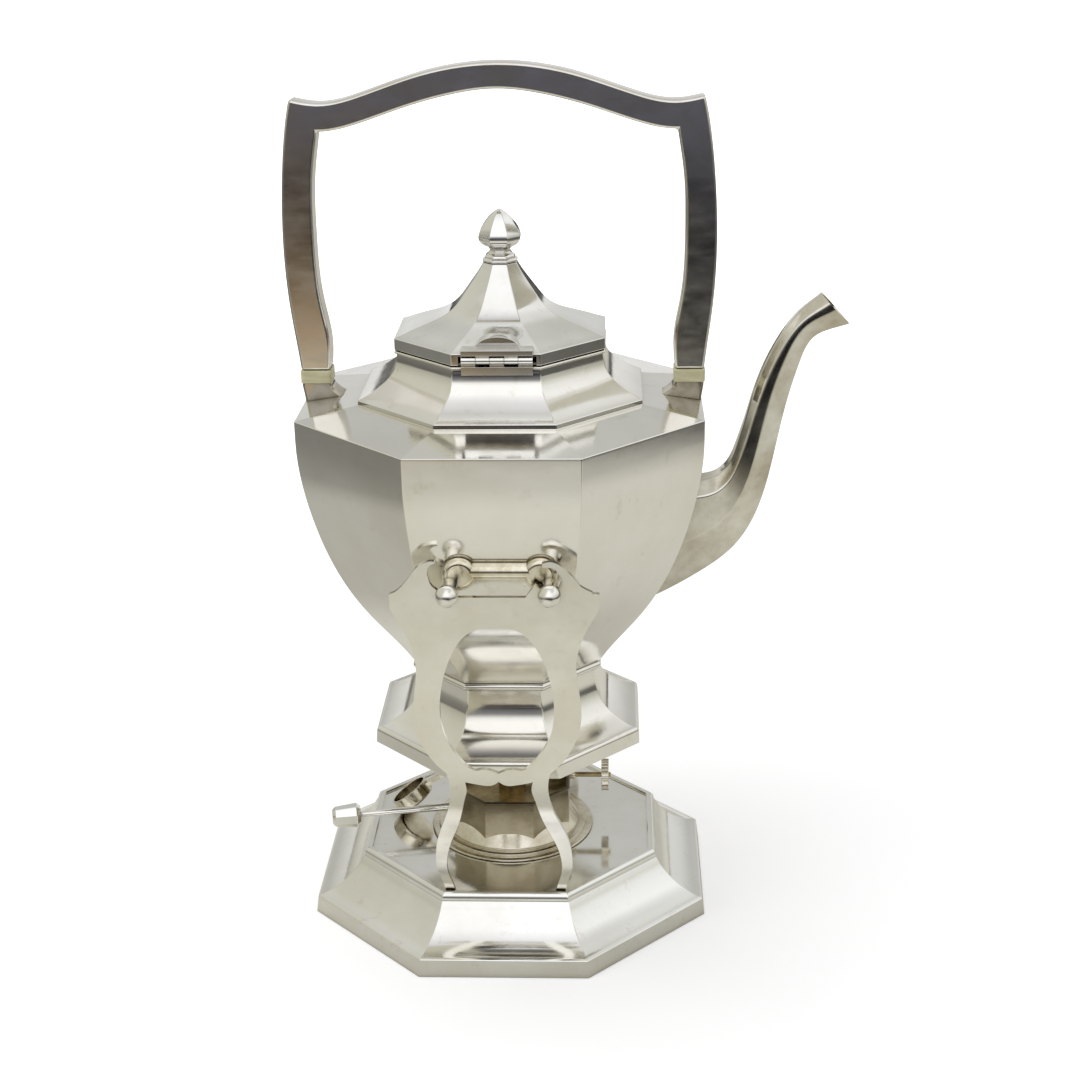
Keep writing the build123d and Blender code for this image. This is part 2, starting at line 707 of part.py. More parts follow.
with BuildPart() as finial_nut:
    with BuildSketch(Plane.XY.offset(roof_top - stud_length + 2.5)):
        RegularPolygon(3.4, 6)
        Circle(stud_radius, mode=Mode.SUBTRACT)
    extrude(amount=3)
save(finial_nut, "finial_nut")

# Spirit lamp: font and octagonal drum in one shell, with a round stepped flange that rests on the plateau

lamp_rest = plateau_level + seat_gap
font_bottom = well_floor + well_wall + 1.5
tread = 2.8
riser = 0.9
with BuildSketch() as lamp_outline:
    with BuildLine():
        side = Polyline((0, font_bottom), (font_half, font_bottom), (font_half, lamp_rest),
                        (drum_half, lamp_rest), (drum_half, drum_top - 1.2))
        roll = ThreePointArc(side @ 1, (drum_half + 0.5, drum_top - 0.6), (drum_half, drum_top))
        Polyline(roll @ 1, (0, drum_top), (0, font_bottom))
    make_face()

flange_radius = drum_half + 9.5
spindle_radius = 1.0
with BuildSketch(Plane.XZ) as flange_outline:
    with BuildLine():
        Polyline((0, lamp_rest), (flange_radius, lamp_rest), (flange_radius, lamp_rest + riser),
                 (flange_radius - tread, lamp_rest + riser), (flange_radius - tread, lamp_rest + 2 * riser),
                 (flange_radius - 2 * tread, lamp_rest + 2 * riser),
                 (flange_radius - 2 * tread, lamp_rest + 3 * riser),
                 (drum_half, lamp_rest + 7.5), (0, lamp_rest + 7.5), close=True)
    make_face()

burner_level = drum_top - 6.5
with BuildPart() as lamp_drum:
    add(octagonal(lamp_outline.sketch))
    add(revolve(flange_outline.sketch, Axis.Z))
    add(octagon_prism(drum_half - lamp_wall, font_bottom + lamp_wall, drum_top + 1), mode=Mode.SUBTRACT)
    with BuildSketch(Plane.YZ.offset(drum_half - 2)):
        with Locations((spindle_y, spindle_z)):
            Circle(spindle_radius + running_fit)
    extrude(amount=4, mode=Mode.SUBTRACT)
save(lamp_drum, "lamp_drum")

tube_radius = 5.5
tube_wall = 0.7
tube_top = drum_top + 2.5
tube_bottom = burner_level - 2.5
with BuildPart() as burner_plate:
    add(octagon_prism(drum_half - lamp_wall, burner_level - 1.0, burner_level))
    with Locations((0, 0, burner_level)):
        Cylinder(tube_radius, 6, mode=Mode.SUBTRACT)
save(burner_plate, "burner_plate")

pinion_radius = 2.2
pinion_width = 2.4
with BuildPart() as wick_tube:
    with BuildSketch(Plane.XY.offset(tube_bottom)):
        Circle(tube_radius)
        Circle(tube_radius - tube_wall, mode=Mode.SUBTRACT)
    extrude(amount=tube_top - tube_bottom)
    with Locations((0, spindle_y, spindle_z)):
        Box(pinion_width + 1.2, 2 * pinion_radius + 1.6, 2 * pinion_radius + 1.0, mode=Mode.SUBTRACT)
save(wick_tube, "wick_tube")

# Spirit lamp: handle, a thin tapered bar with an octagonal knob

lever_angle = 191.5
lever_level = lamp_rest + 9.7
lever_end = drum_half + 39.1
knob_end = lever_end + 11.4
lever = Plane((0, 0, lever_level), x_dir=(-sin(radians(lever_angle)), cos(radians(lever_angle)), 0),
              z_dir=(cos(radians(lever_angle)), sin(radians(lever_angle)), 0))
with BuildPart() as lamp_handle:
    with BuildSketch(lever.offset(drum_half - 5.5)):
        Circle(1.8)
    with BuildSketch(lever.offset(lever_end)):
        Circle(1.0)
    loft()
    add(octagon_prism(drum_half, lamp_rest, drum_top), mode=Mode.SUBTRACT)
save(lamp_handle, "lamp_handle")

with BuildPart() as lamp_knob:
    with BuildSketch(lever.offset(lever_end)):
        RegularPolygon(3.4, 8, major_radius=False, rotation=22.5)
    with BuildSketch(lever.offset(lever_end + 1.6)):
        RegularPolygon(4.6, 8, major_radius=False, rotation=22.5)
    with BuildSketch(lever.offset(knob_end - 1.2)):
        RegularPolygon(3.8, 8, major_radius=False, rotation=22.5)
    with BuildSketch(lever.offset(knob_end)):
        RegularPolygon(2.6, 8, major_radius=False, rotation=22.5)
    loft(ruled=True)
save(lamp_knob, "lamp_knob")

# Snuffer: a cap on an arm, hinged on the rim of the drum and swung right over

snuffer_angle = 170.0
snuffer_swing = 217.0
snuffer_pivot = drum_half + 0.5
snuffer_level = drum_top + 1.8
cap_radius = 8.4
cap_rim = -2.1              # below the hinge when closed
cap_top = 3.9
cap_wall = 0.8
outward = (cos(radians(snuffer_angle)), sin(radians(snuffer_angle)), 0)
sideways = (-sin(radians(snuffer_angle)), cos(radians(snuffer_angle)), 0)
snuffer_hinge = Plane(origin=(snuffer_pivot * outward[0], snuffer_pivot * outward[1], snuffer_level),
                      x_dir=(-outward[0], -outward[1], 0), z_dir=sideways)

swing = radians(snuffer_swing)
snuffer_open = Plane(origin=snuffer_hinge.origin, z_dir=sideways,
                     x_dir=snuffer_hinge.x_dir * cos(swing) + Vector(0, 0, 1) * sin(swing))
ear_inner = 1.7
ear_outer = 2.9
ear_radius = 1.5
snuffer_pin_radius = 0.6

with BuildPart() as snuffer_bracket:
    with BuildSketch(snuffer_hinge.offset(ear_inner)):
        Circle(ear_radius)
        with Locations((0, (drum_top - snuffer_level) / 2)):
            Rectangle(2 * ear_radius, snuffer_level - drum_top)
    extrude(amount=ear_outer - ear_inner)
    with BuildSketch(snuffer_hinge.offset(-ear_outer)):
        Circle(ear_radius)
        with Locations((0, (drum_top - snuffer_level) / 2)):
            Rectangle(2 * ear_radius, snuffer_level - drum_top)
    extrude(amount=ear_outer - ear_inner)
    with BuildSketch(snuffer_hinge.offset(-ear_outer)):
        with Locations((0.9, drum_top - snuffer_level + 0.2)):
            Rectangle(1.2, 0.4)
    extrude(amount=2 * ear_outer)
    with BuildSketch(snuffer_hinge.offset(-ear_outer)):
        Circle(snuffer_pin_radius)
    extrude(amount=2 * ear_outer, mode=Mode.SUBTRACT)
save(snuffer_bracket, "snuffer_bracket")

with BuildPart() as snuffer_pin:
    with BuildSketch(snuffer_hinge.offset(-ear_outer)):
        Circle(snuffer_pin_radius)
    extrude(amount=2 * ear_outer)
save(snuffer_pin, "snuffer_pin")

barrel_radius = 1.2
arm_half = 0.8
cap_plane = Plane(origin=snuffer_open.from_local_coords((snuffer_pivot, cap_rim, 0)),
                  z_dir=snuffer_open.y_dir)
with BuildPart() as snuffer_cap:
    with BuildSketch(cap_plane):
        Circle(cap_radius)
    extrude(amount=cap_top - cap_rim)
    fillet(snuffer_cap.faces().sort_by(Axis(cap_plane.origin, cap_plane.z_dir))[-1].edges(), 1.5)
    with BuildSketch(cap_plane):
        Circle(cap_radius - cap_wall)
    extrude(amount=cap_top - cap_rim - cap_wall, mode=Mode.SUBTRACT)
save(snuffer_cap, "snuffer_cap")

with BuildPart() as snuffer_arm:
    with BuildSketch(snuffer_open):
        Circle(barrel_radius)
        with Locations((snuffer_pivot / 2, 0)):
            Rectangle(snuffer_pivot, 2 * arm_half)
    extrude(amount=ear_inner - 0.1, both=True)
    with BuildSketch(cap_plane.offset(-5)):
        Circle(cap_radius)
    extrude(amount=15, mode=Mode.SUBTRACT)
    with BuildSketch(snuffer_open.offset(-5)):
        Circle(snuffer_pin_radius + running_fit)
    extrude(amount=10, mode=Mode.SUBTRACT)
save(snuffer_arm, "snuffer_arm")

# Wick winder: a knurled wheel and a small pinion on one spindle

wheel_radius = 6.5
wheel_width = 3.0
wheel_x = drum_half + 14.7
spindle_start = -2.4

with BuildPart() as winder_spindle:
    with BuildSketch(Plane.YZ.offset(spindle_start)):
        with Locations((spindle_y, spindle_z)):
            Circle(spindle_radius)
    extrude(amount=wheel_x + wheel_width / 2 + 0.8 - spindle_start)
save(winder_spindle, "winder_spindle")

with BuildPart() as winder_wheel:
    with BuildSketch(Plane.YZ.offset(wheel_x - wheel_width / 2)):
        with Locations((spindle_y, spindle_z)):
            Circle(wheel_radius)
            Circle(spindle_radius, mode=Mode.SUBTRACT)
            with PolarLocations(wheel_radius, 24):
                Circle(0.4, mode=Mode.SUBTRACT)
    extrude(amount=wheel_width)
save(winder_wheel, "winder_wheel")

with BuildPart() as winder_pinion:
    with BuildSketch(Plane.YZ.offset(-pinion_width / 2)):
        with Locations((spindle_y, spindle_z)):
            Circle(pinion_radius)
            Circle(spindle_radius, mode=Mode.SUBTRACT)
            with PolarLocations(pinion_radius, 9):
                Circle(0.35, mode=Mode.SUBTRACT)
    extrude(amount=pinion_width)
save(winder_pinion, "winder_pinion")

with BuildPart() as spindle_gland:
    with BuildSketch(Plane.YZ.offset(drum_half)):
        with Locations((spindle_y, spindle_z)):
            Circle(1.9)
            Circle(spindle_radius + running_fit, mode=Mode.SUBTRACT)
    extrude(amount=2.4)
save(spindle_gland, "spindle_gland")

# Wick

wick_top = tube_top + 0.8
wick_bottom = font_bottom + 5.0
with BuildPart() as wick:
    with BuildSketch(Plane.XY.offset(wick_bottom)):
        Circle(4.5)
    extrude(amount=wick_top - wick_bottom)
save(wick, "wick")
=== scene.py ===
import json
from math import cos, pi, radians, sin

import bmesh
import bpy
import numpy
from mathutils import Matrix, Vector


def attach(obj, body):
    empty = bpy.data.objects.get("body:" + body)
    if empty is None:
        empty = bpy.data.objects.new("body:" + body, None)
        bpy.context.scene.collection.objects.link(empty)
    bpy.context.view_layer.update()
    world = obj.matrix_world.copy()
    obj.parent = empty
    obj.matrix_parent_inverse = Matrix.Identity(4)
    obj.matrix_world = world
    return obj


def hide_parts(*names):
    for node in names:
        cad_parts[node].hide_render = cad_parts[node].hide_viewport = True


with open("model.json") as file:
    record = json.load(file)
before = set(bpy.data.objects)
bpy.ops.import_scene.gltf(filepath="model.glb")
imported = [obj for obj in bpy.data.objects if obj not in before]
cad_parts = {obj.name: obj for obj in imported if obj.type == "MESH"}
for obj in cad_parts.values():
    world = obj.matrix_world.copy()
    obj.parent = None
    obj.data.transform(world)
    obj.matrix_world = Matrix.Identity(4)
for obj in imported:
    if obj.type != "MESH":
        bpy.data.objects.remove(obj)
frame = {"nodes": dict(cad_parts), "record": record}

scene = bpy.context.scene
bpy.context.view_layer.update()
nodes = frame["nodes"]
record = frame["record"]
bodyOf = {node: body for body, members in record["behaviour"]["bodies"].items() for node in members}
millimetre = 0.001
print("frame loaded,", len(nodes), "nodes")


# camera: the photograph's own viewpoint, lengths in metres, angles in degrees
viewpoint = {"lens": 61.63, "sensor": 36.0, "azimuth": 2.45, "elevation": 20.79, "roll": -0.90,
             "distance": 0.7225, "targetHeight": 0.14824, "slideRight": 0.01308, "clipStart": 0.01}


def placeCamera(settings):
    azimuth = radians(settings["azimuth"])
    elevation = radians(settings["elevation"])
    roll = radians(settings["roll"])
    back = Vector((sin(azimuth) * cos(elevation), -cos(azimuth) * cos(elevation), sin(elevation)))
    right = Vector((cos(azimuth), sin(azimuth), 0.0))
    up = back.cross(right)
    rolledRight = right * cos(roll) + up * sin(roll)
    rolledUp = up * cos(roll) - right * sin(roll)
    target = Vector((0, 0, settings["targetHeight"]))
    place = target + back * settings["distance"] + rolledRight * settings["slideRight"]
    cameraData = bpy.data.cameras.new("photoCamera")
    cameraData.lens = settings["lens"]
    cameraData.sensor_width = settings["sensor"]
    cameraData.clip_start = settings["clipStart"]
    camera = bpy.data.objects.new("photoCamera", cameraData)
    turn = Matrix((rolledRight, rolledUp, back)).transposed().to_4x4()
    camera.matrix_world = Matrix.Translation(place) @ turn
    scene.collection.objects.link(camera)
    scene.camera = camera


placeCamera(viewpoint)
scene.view_settings.view_transform = "Standard"
print("camera placed")


# node helpers, for materials and for Geometry Nodes alike

def treeNode(tree, kind, values=None, **settings):
    node = tree.nodes.new(kind)
    for name, value in settings.items():
        setattr(node, name, value)
    for key, value in (values or {}).items():
        feed(tree, value, node.inputs[key])
    return node


def feed(tree, value, socket):  # a socket is linked, anything else is typed in
    if isinstance(value, bpy.types.NodeSocket):
        tree.links.new(value, socket)
    else:
        socket.default_value = value


def reckon(tree, operation, *values):
    node = treeNode(tree, "ShaderNodeMath", operation=operation)
    for value, socket in zip(values, node.inputs):
        feed(tree, value, socket)
    return node.outputs[0]


def objectNoise(tree, scale, detail, roughness, stretch=(1, 1, 1)):
    place = treeNode(tree, "ShaderNodeTexCoord")
    mapping = treeNode(tree, "ShaderNodeMapping", {"Vector": place.outputs["Object"], "Scale": stretch})
    noise = treeNode(tree, "ShaderNodeTexNoise", {"Vector": mapping.outputs["Vector"], "Scale": scale,
                                                  "Detail": detail, "Roughness": roughness})
    return noise.outputs["Fac"]


def colourRamp(tree, source, stops):
    ramp = treeNode(tree, "ShaderNodeValToRGB", {"Fac": source})
    elements = ramp.color_ramp.elements
    while len(elements) < len(stops):
        elements.new(0.5)
    for element, (position, colour) in zip(elements, stops):
        element.position = position
        element.color = (*colour, 1.0)
    return ramp.outputs["Color"]


def numberRange(tree, source, low, high, fromLow=0.0, fromHigh=1.0):
    spread = treeNode(tree, "ShaderNodeMapRange", {"Value": source, "From Min": fromLow, "From Max": fromHigh,
                                                   "To Min": low, "To Max": high})
    return spread.outputs["Result"]


def mixColour(tree, share, first, second, blend="MIX"):
    mix = treeNode(tree, "ShaderNodeMix", data_type="RGBA", blend_type=blend)
    feed(tree, share, mix.inputs["Factor"])
    for value, name in ((first, "A"), (second, "B")):
        socket = next(s for s in mix.inputs if s.name == name and s.type == "RGBA")
        feed(tree, value, socket)
    return next(s for s in mix.outputs if s.type == "RGBA")


def bumpOf(tree, source, strength, distance, under=None):
    bump = treeNode(tree, "ShaderNodeBump", {"Height": source, "Strength": strength, "Distance": distance})
    if under is not None:
        tree.links.new(under, bump.inputs["Normal"])
    return bump.outputs["Normal"]


def newMaterial(name):
    material = bpy.data.materials.new(name)
    material.use_nodes = True
    tree = material.node_tree
    return material, tree, tree.nodes["Principled BSDF"]


# a name that ends in Over says between which two places a change happens, in metres or as a share
# finishes: bright and worn colours of the plate, on some plates darkened or tinted as painted reflection,
# roughness from rubbed to dull, and how the sheet ripples
silverLooks = {
    "kettleSilver": {"bright": (0.95, 0.94, 0.905), "worn": (0.87, 0.85, 0.79), "cloud": 16.0, "rubbed": 0.07,
                     "dull": 0.16, "ripple": 0.10, "scratch": 0.05},
    # painted dark reflection, with tarnish: the spout's plate is darker and browner than the body's
    "spoutSilver": {"bright": (0.90, 0.885, 0.82), "worn": (0.50, 0.44, 0.33), "cloud": 26.0, "rubbed": 0.09,
                    "dull": 0.17, "ripple": 0.12, "scratch": 0.05},
    "socketSilver": {"bright": (0.62, 0.58, 0.49), "worn": (0.30, 0.26, 0.19), "cloud": 50.0, "rubbed": 0.10,
                     "dull": 0.20, "ripple": 0.20, "scratch": 0.05},
    "lidSilver": {"bright": (0.93, 0.93, 0.915), "worn": (0.84, 0.83, 0.795), "cloud": 30.0, "rubbed": 0.06,
                  "dull": 0.13, "ripple": 0.10, "scratch": 0.05},
    "standSilver": {"bright": (0.94, 0.94, 0.92), "worn": (0.86, 0.85, 0.81), "cloud": 22.0, "rubbed": 0.07,
                    "dull": 0.15, "ripple": 0.12, "scratch": 0.06},
    "uprightSilver": {"bright": (0.93, 0.915, 0.86), "worn": (0.85, 0.82, 0.73), "cloud": 40.0, "rubbed": 0.13,
                      "dull": 0.24, "ripple": 0.14, "scratch": 0.10},
    "handleSilver": {"bright": (0.86, 0.84, 0.81), "worn": (0.74, 0.70, 0.62), "cloud": 34.0, "rubbed": 0.12,
                     "dull": 0.22, "ripple": 0.16, "scratch": 0.08},
    "lampSilver": {"bright": (0.84, 0.80, 0.69), "worn": (0.56, 0.50, 0.38), "cloud": 60.0, "rubbed": 0.10,
                   "dull": 0.24, "ripple": 0.20, "scratch": 0.10},
    # painted shade and painted dark reflection under the kettle foot, with heat tarnish: the drum's plate
    # darkens towards its top
    "sootedAndShadedSilver": {"bright": (0.84, 0.80, 0.69), "worn": (0.56, 0.50, 0.38), "cloud": 60.0, "rubbed": 0.10,
                     "dull": 0.26, "ripple": 0.20, "scratch": 0.10,
                     "sootAndShade": [(0.0, (1.0, 1.0, 1.0)), (0.10, (0.80, 0.78, 0.72)), (0.30, (0.42, 0.39, 0.32)),
                              (0.75, (0.34, 0.31, 0.25)), (1.0, (0.16, 0.14, 0.11))],
                     "sootAndShadeOver": (0.0245, 0.046)},
    # painted reflection: the brackets' plate is tinted brown, standing in for the brown its rounded bar
    # mirrors
    "brownReflectionSilver": {"bright": (0.90, 0.86, 0.73), "worn": (0.62, 0.55, 0.40), "cloud": 120.0, "rubbed": 0.08,
                      "dull": 0.20, "ripple": 0.25, "scratch": 0.10},
}
# what every plate shares, painted crease shade included: a noise is given by detail and roughness, or by
# scale, detail, roughness and stretch
plateWearAndCreaseShade = {
    "cloudNoise": (6.0, 0.62), "cloudSpread": (0.36, 0.60), "stainNoise": (4.0, 0.7), "stainFiner": 6,
    "stainShare": 0.5, "stain": [(0.26, (0.80, 0.76, 0.68)), (0.40, (1.0, 1.0, 1.0))],
    # painted shade: ambient occlusion within creaseReach darkens creases and gaps between parts, together with
    # their tarnish
    "creaseReach": 0.005, "creaseSamples": 4,
    "creaseShadeAndTarnish": [(0.25, (0.22, 0.19, 0.14)), (0.55, (0.70, 0.67, 0.60)), (0.80, (1.0, 1.0, 1.0))],
    "rubNoise": (70.0, 6.0, 0.65, (1, 1, 2.5)), "rubSpread": (0.3, 0.7),
    "waveNoise": (26.0, 2.0, 0.45), "waveDepth": 0.0008,
    "scratchNoise": (260.0, 3.0, 0.6, (1, 1, 0.15)), "scratchDepth": 0.00008,
}
finish = {}


def silverPlate(name, look, wearAndCreaseShade):
    material, tree, shader = newMaterial(name)
    shader.inputs["Metallic"].default_value = 1.0
    cloud = objectNoise(tree, look["cloud"], *wearAndCreaseShade["cloudNoise"])
    stain = objectNoise(tree, look["cloud"] * wearAndCreaseShade["stainFiner"], *wearAndCreaseShade["stainNoise"])
    plate = colourRamp(tree, cloud, list(zip(wearAndCreaseShade["cloudSpread"], (look["worn"], look["bright"]))))
    colour = mixColour(tree, wearAndCreaseShade["stainShare"], plate, colourRamp(tree, stain, wearAndCreaseShade["stain"]), "MULTIPLY")
    if "sootAndShade" in look:      # painted shade and dark reflection under the kettle foot, with heat tarnish: darker towards the flame, along the height
        height = treeNode(tree, "ShaderNodeSeparateXYZ", {
            "Vector": treeNode(tree, "ShaderNodeTexCoord").outputs["Object"]}).outputs["Z"]
        rise = numberRange(tree, height, 0.0, 1.0, *look["sootAndShadeOver"])
        colour = mixColour(tree, 1.0, colour, colourRamp(tree, rise, look["sootAndShade"]), "MULTIPLY")
    # painted shade: the base colour is darkened where ambient occlusion finds creases and nearby pieces,
    # standing in for shade as well as tarnish
    hollow = treeNode(tree, "ShaderNodeAmbientOcclusion", {"Distance": wearAndCreaseShade["creaseReach"]},
                      samples=wearAndCreaseShade["creaseSamples"])
    creaseShadeAndTarnish = colourRamp(tree, hollow.outputs["AO"], wearAndCreaseShade["creaseShadeAndTarnish"])     # painted shade with tarnish: ambient occlusion darkens the creases and the gaps between parts
    tree.links.new(mixColour(tree, 1.0, colour, creaseShadeAndTarnish, "MULTIPLY"), shader.inputs["Base Color"])
    rub = objectNoise(tree, *wearAndCreaseShade["rubNoise"])
    tree.links.new(numberRange(tree, rub, look["rubbed"], look["dull"], *wearAndCreaseShade["rubSpread"]),
                   shader.inputs["Roughness"])
    rippled = bumpOf(tree, objectNoise(tree, *wearAndCreaseShade["waveNoise"]), look["ripple"], wearAndCreaseShade["waveDepth"])
    scratches = objectNoise(tree, *wearAndCreaseShade["scratchNoise"])
    scratched = bumpOf(tree, scratches, look["scratch"], wearAndCreaseShade["scratchDepth"], rippled)
    tree.links.new(scratched, shader.inputs["Normal"])
    finish[name] = material


# the finishes that follow one grain: its scale, detail, roughness and stretch, then what it colours
grainLooks = {
    "ivoryRing": {"grain": (120.0, 3.0, 0.5, (1, 1, 6)), "roughness": 0.38, "bump": (0.25, 0.0003),
                  "stops": [(0.3, (0.56, 0.52, 0.31)), (0.7, (0.70, 0.67, 0.45))],
                  "softness": 0.1, "softReach": (0.004, 0.003, 0.002)},
    "heatedBrass": {"grain": (90.0, 6.0, 0.7), "roughness": (0.45, 0.22), "bump": (0.2, 0.0002),
                    "stops": [(0.3, (0.14, 0.11, 0.07)), (0.5, (0.42, 0.33, 0.18)), (0.7, (0.62, 0.50, 0.28))],
                    "metallic": 1.0},
    "cottonWick": {"grain": (900.0, 2.0, 0.5, (1, 1, 0.3)), "roughness": 0.9, "bump": (0.6, 0.0003),
                   "stops": [(0.3, (0.45, 0.40, 0.32)), (0.7, (0.75, 0.70, 0.60))]},
}


def grainedFinish(name, look):
    material, tree, shader = newMaterial(name)
    grain = objectNoise(tree, *look["grain"])
    tree.links.new(colourRamp(tree, grain, look["stops"]), shader.inputs["Base Color"])
    shader.inputs["Metallic"].default_value = look.get("metallic", 0.0)
    roughness = look["roughness"]
    if isinstance(roughness, tuple):    # a pair follows the grain
        roughness = numberRange(tree, grain, *roughness)
    feed(tree, roughness, shader.inputs["Roughness"])
    if "softness" in look:
        shader.inputs["Subsurface Weight"].default_value = look["softness"]
        shader.inputs["Subsurface Radius"].default_value = look["softReach"]
    tree.links.new(bumpOf(tree, grain, *look["bump"]), shader.inputs["Normal"])
    finish[name] = material


for lookName, look in silverLooks.items():
    silverPlate(lookName, look, plateWearAndCreaseShade)
for lookName, look in grainLooks.items():
    grainedFinish(lookName, look)
print("finishes made:", len(finish))


# how meshes are welded, softened and smoothed: weld in metres, angles in degrees
meshing = {"weld": 1e-6, "samePoint": 1e-4, "cutShare": 0.45, "flatCorner": 14, "bevelSegments": 3,
           "bevelFrom": 32, "sharp": 42, "weight": 60, "flatFaces": 0.3, "punchSides": 20, "ribSides": 8,
           "coilSteps": 24, "strandSides": 8, "arcSteps": 4, "rounding": 0.25}


# outlines, in millimetres: (half width, height), with a third number for a corner's own rounding

def flowing(points, first, last, steps=7):  # a smooth curve through points, with its two end directions
    spots = numpy.array(points, float)
    gaps = numpy.linalg.norm(numpy.diff(spots, axis=0), axis=1)
    count = len(spots)
    matrix = numpy.eye(count)
    answer = numpy.zeros_like(spots)
    answer[0] = numpy.array(first, float) / numpy.linalg.norm(first)
    answer[-1] = numpy.array(last, float) / numpy.linalg.norm(last)
    for i in range(1, count - 1):
        before, after = gaps[i - 1], gaps[i]
        matrix[i, i - 1:i + 2] = 1 / before, 2 / before + 2 / after, 1 / after
        answer[i] = 3 * ((spots[i] - spots[i - 1]) / before ** 2 + (spots[i + 1] - spots[i]) / after ** 2)
    slopes = numpy.linalg.solve(matrix, answer)
    path = []
    for i, gap in enumerate(gaps):
        for t in numpy.arange(steps) / steps:
            spot = ((2 * t ** 3 - 3 * t ** 2 + 1) * spots[i] + (3 * t ** 2 - 2 * t ** 3) * spots[i + 1]
                    + gap * ((t ** 3 - 2 * t ** 2 + t) * slopes[i] + (t ** 3 - t ** 2) * slopes[i + 1]))
            path.append(tuple(float(v) for v in spot))
    return path + [tuple(float(v) for v in spots[-1])]


def arcOf(start, middle, end, steps=6):  # a bowed line through three points
    a, b, c = (numpy.array(p, float) for p in (start, middle, end))
    bow = 2 * b - (a + c) / 2
    shares = numpy.arange(steps + 1) / steps
    return [tuple(float(v) for v in a * (1 - t) ** 2 + bow * 2 * t * (1 - t) + c * t ** 2) for t in shares]


def softened(outline, radius, closed=True, steps=4, always=False):
    corners = []
    for point in outline:
        if not corners or (Vector(point[:2]) - Vector(corners[-1][:2])).length > meshing["samePoint"]:
            corners.append(tuple(point) if len(point) == 3 else (*point, radius))
    path = []
    for i, (x, z, soft) in enumerate(corners):
        here = Vector((x, z))
        atEnd = not closed and i in (0, len(corners) - 1)
        arriving = here - Vector(corners[i - 1][:2])
        leaving = Vector(corners[(i + 1) % len(corners)][:2]) - here
        flat = not always and arriving.angle(leaving, 0.0) < radians(meshing["flatCorner"])
        if atEnd or soft == 0 or flat:
            path.append((x, z))
            continue
        cut = min(soft, meshing["cutShare"] * arriving.length, meshing["cutShare"] * leaving.length)
        start = here - arriving.normalized() * cut
        end = here + leaving.normalized() * cut
        for step in range(steps + 1):
            t = step / steps
            path.append(tuple(start * (1 - t) ** 2 + here * 2 * t * (1 - t) + end * t ** 2))
    return path


# Geometry Nodes: a tree is made once, its named inputs are set for each piece

def geometryTree(name, sockets):
    tree = bpy.data.node_groups.new(name, "GeometryNodeTree")
    tree.interface.new_socket(name="Geometry", in_out="INPUT", socket_type="NodeSocketGeometry")
    for socketName, kind in sockets.items():
        tree.interface.new_socket(name=socketName, in_out="INPUT", socket_type=kind)
    tree.interface.new_socket(name="Geometry", in_out="OUTPUT", socket_type="NodeSocketGeometry")
    return tree, treeNode(tree, "NodeGroupInput").outputs


def closeTree(tree, geometry, material):
    real = treeNode(tree, "GeometryNodeRealizeInstances", {"Geometry": geometry})
    coloured = treeNode(tree, "GeometryNodeSetMaterial", {"Geometry": real.outputs[0], "Material": material})
    treeNode(tree, "NodeGroupOutput", {"Geometry": coloured.outputs[0]})
    return tree


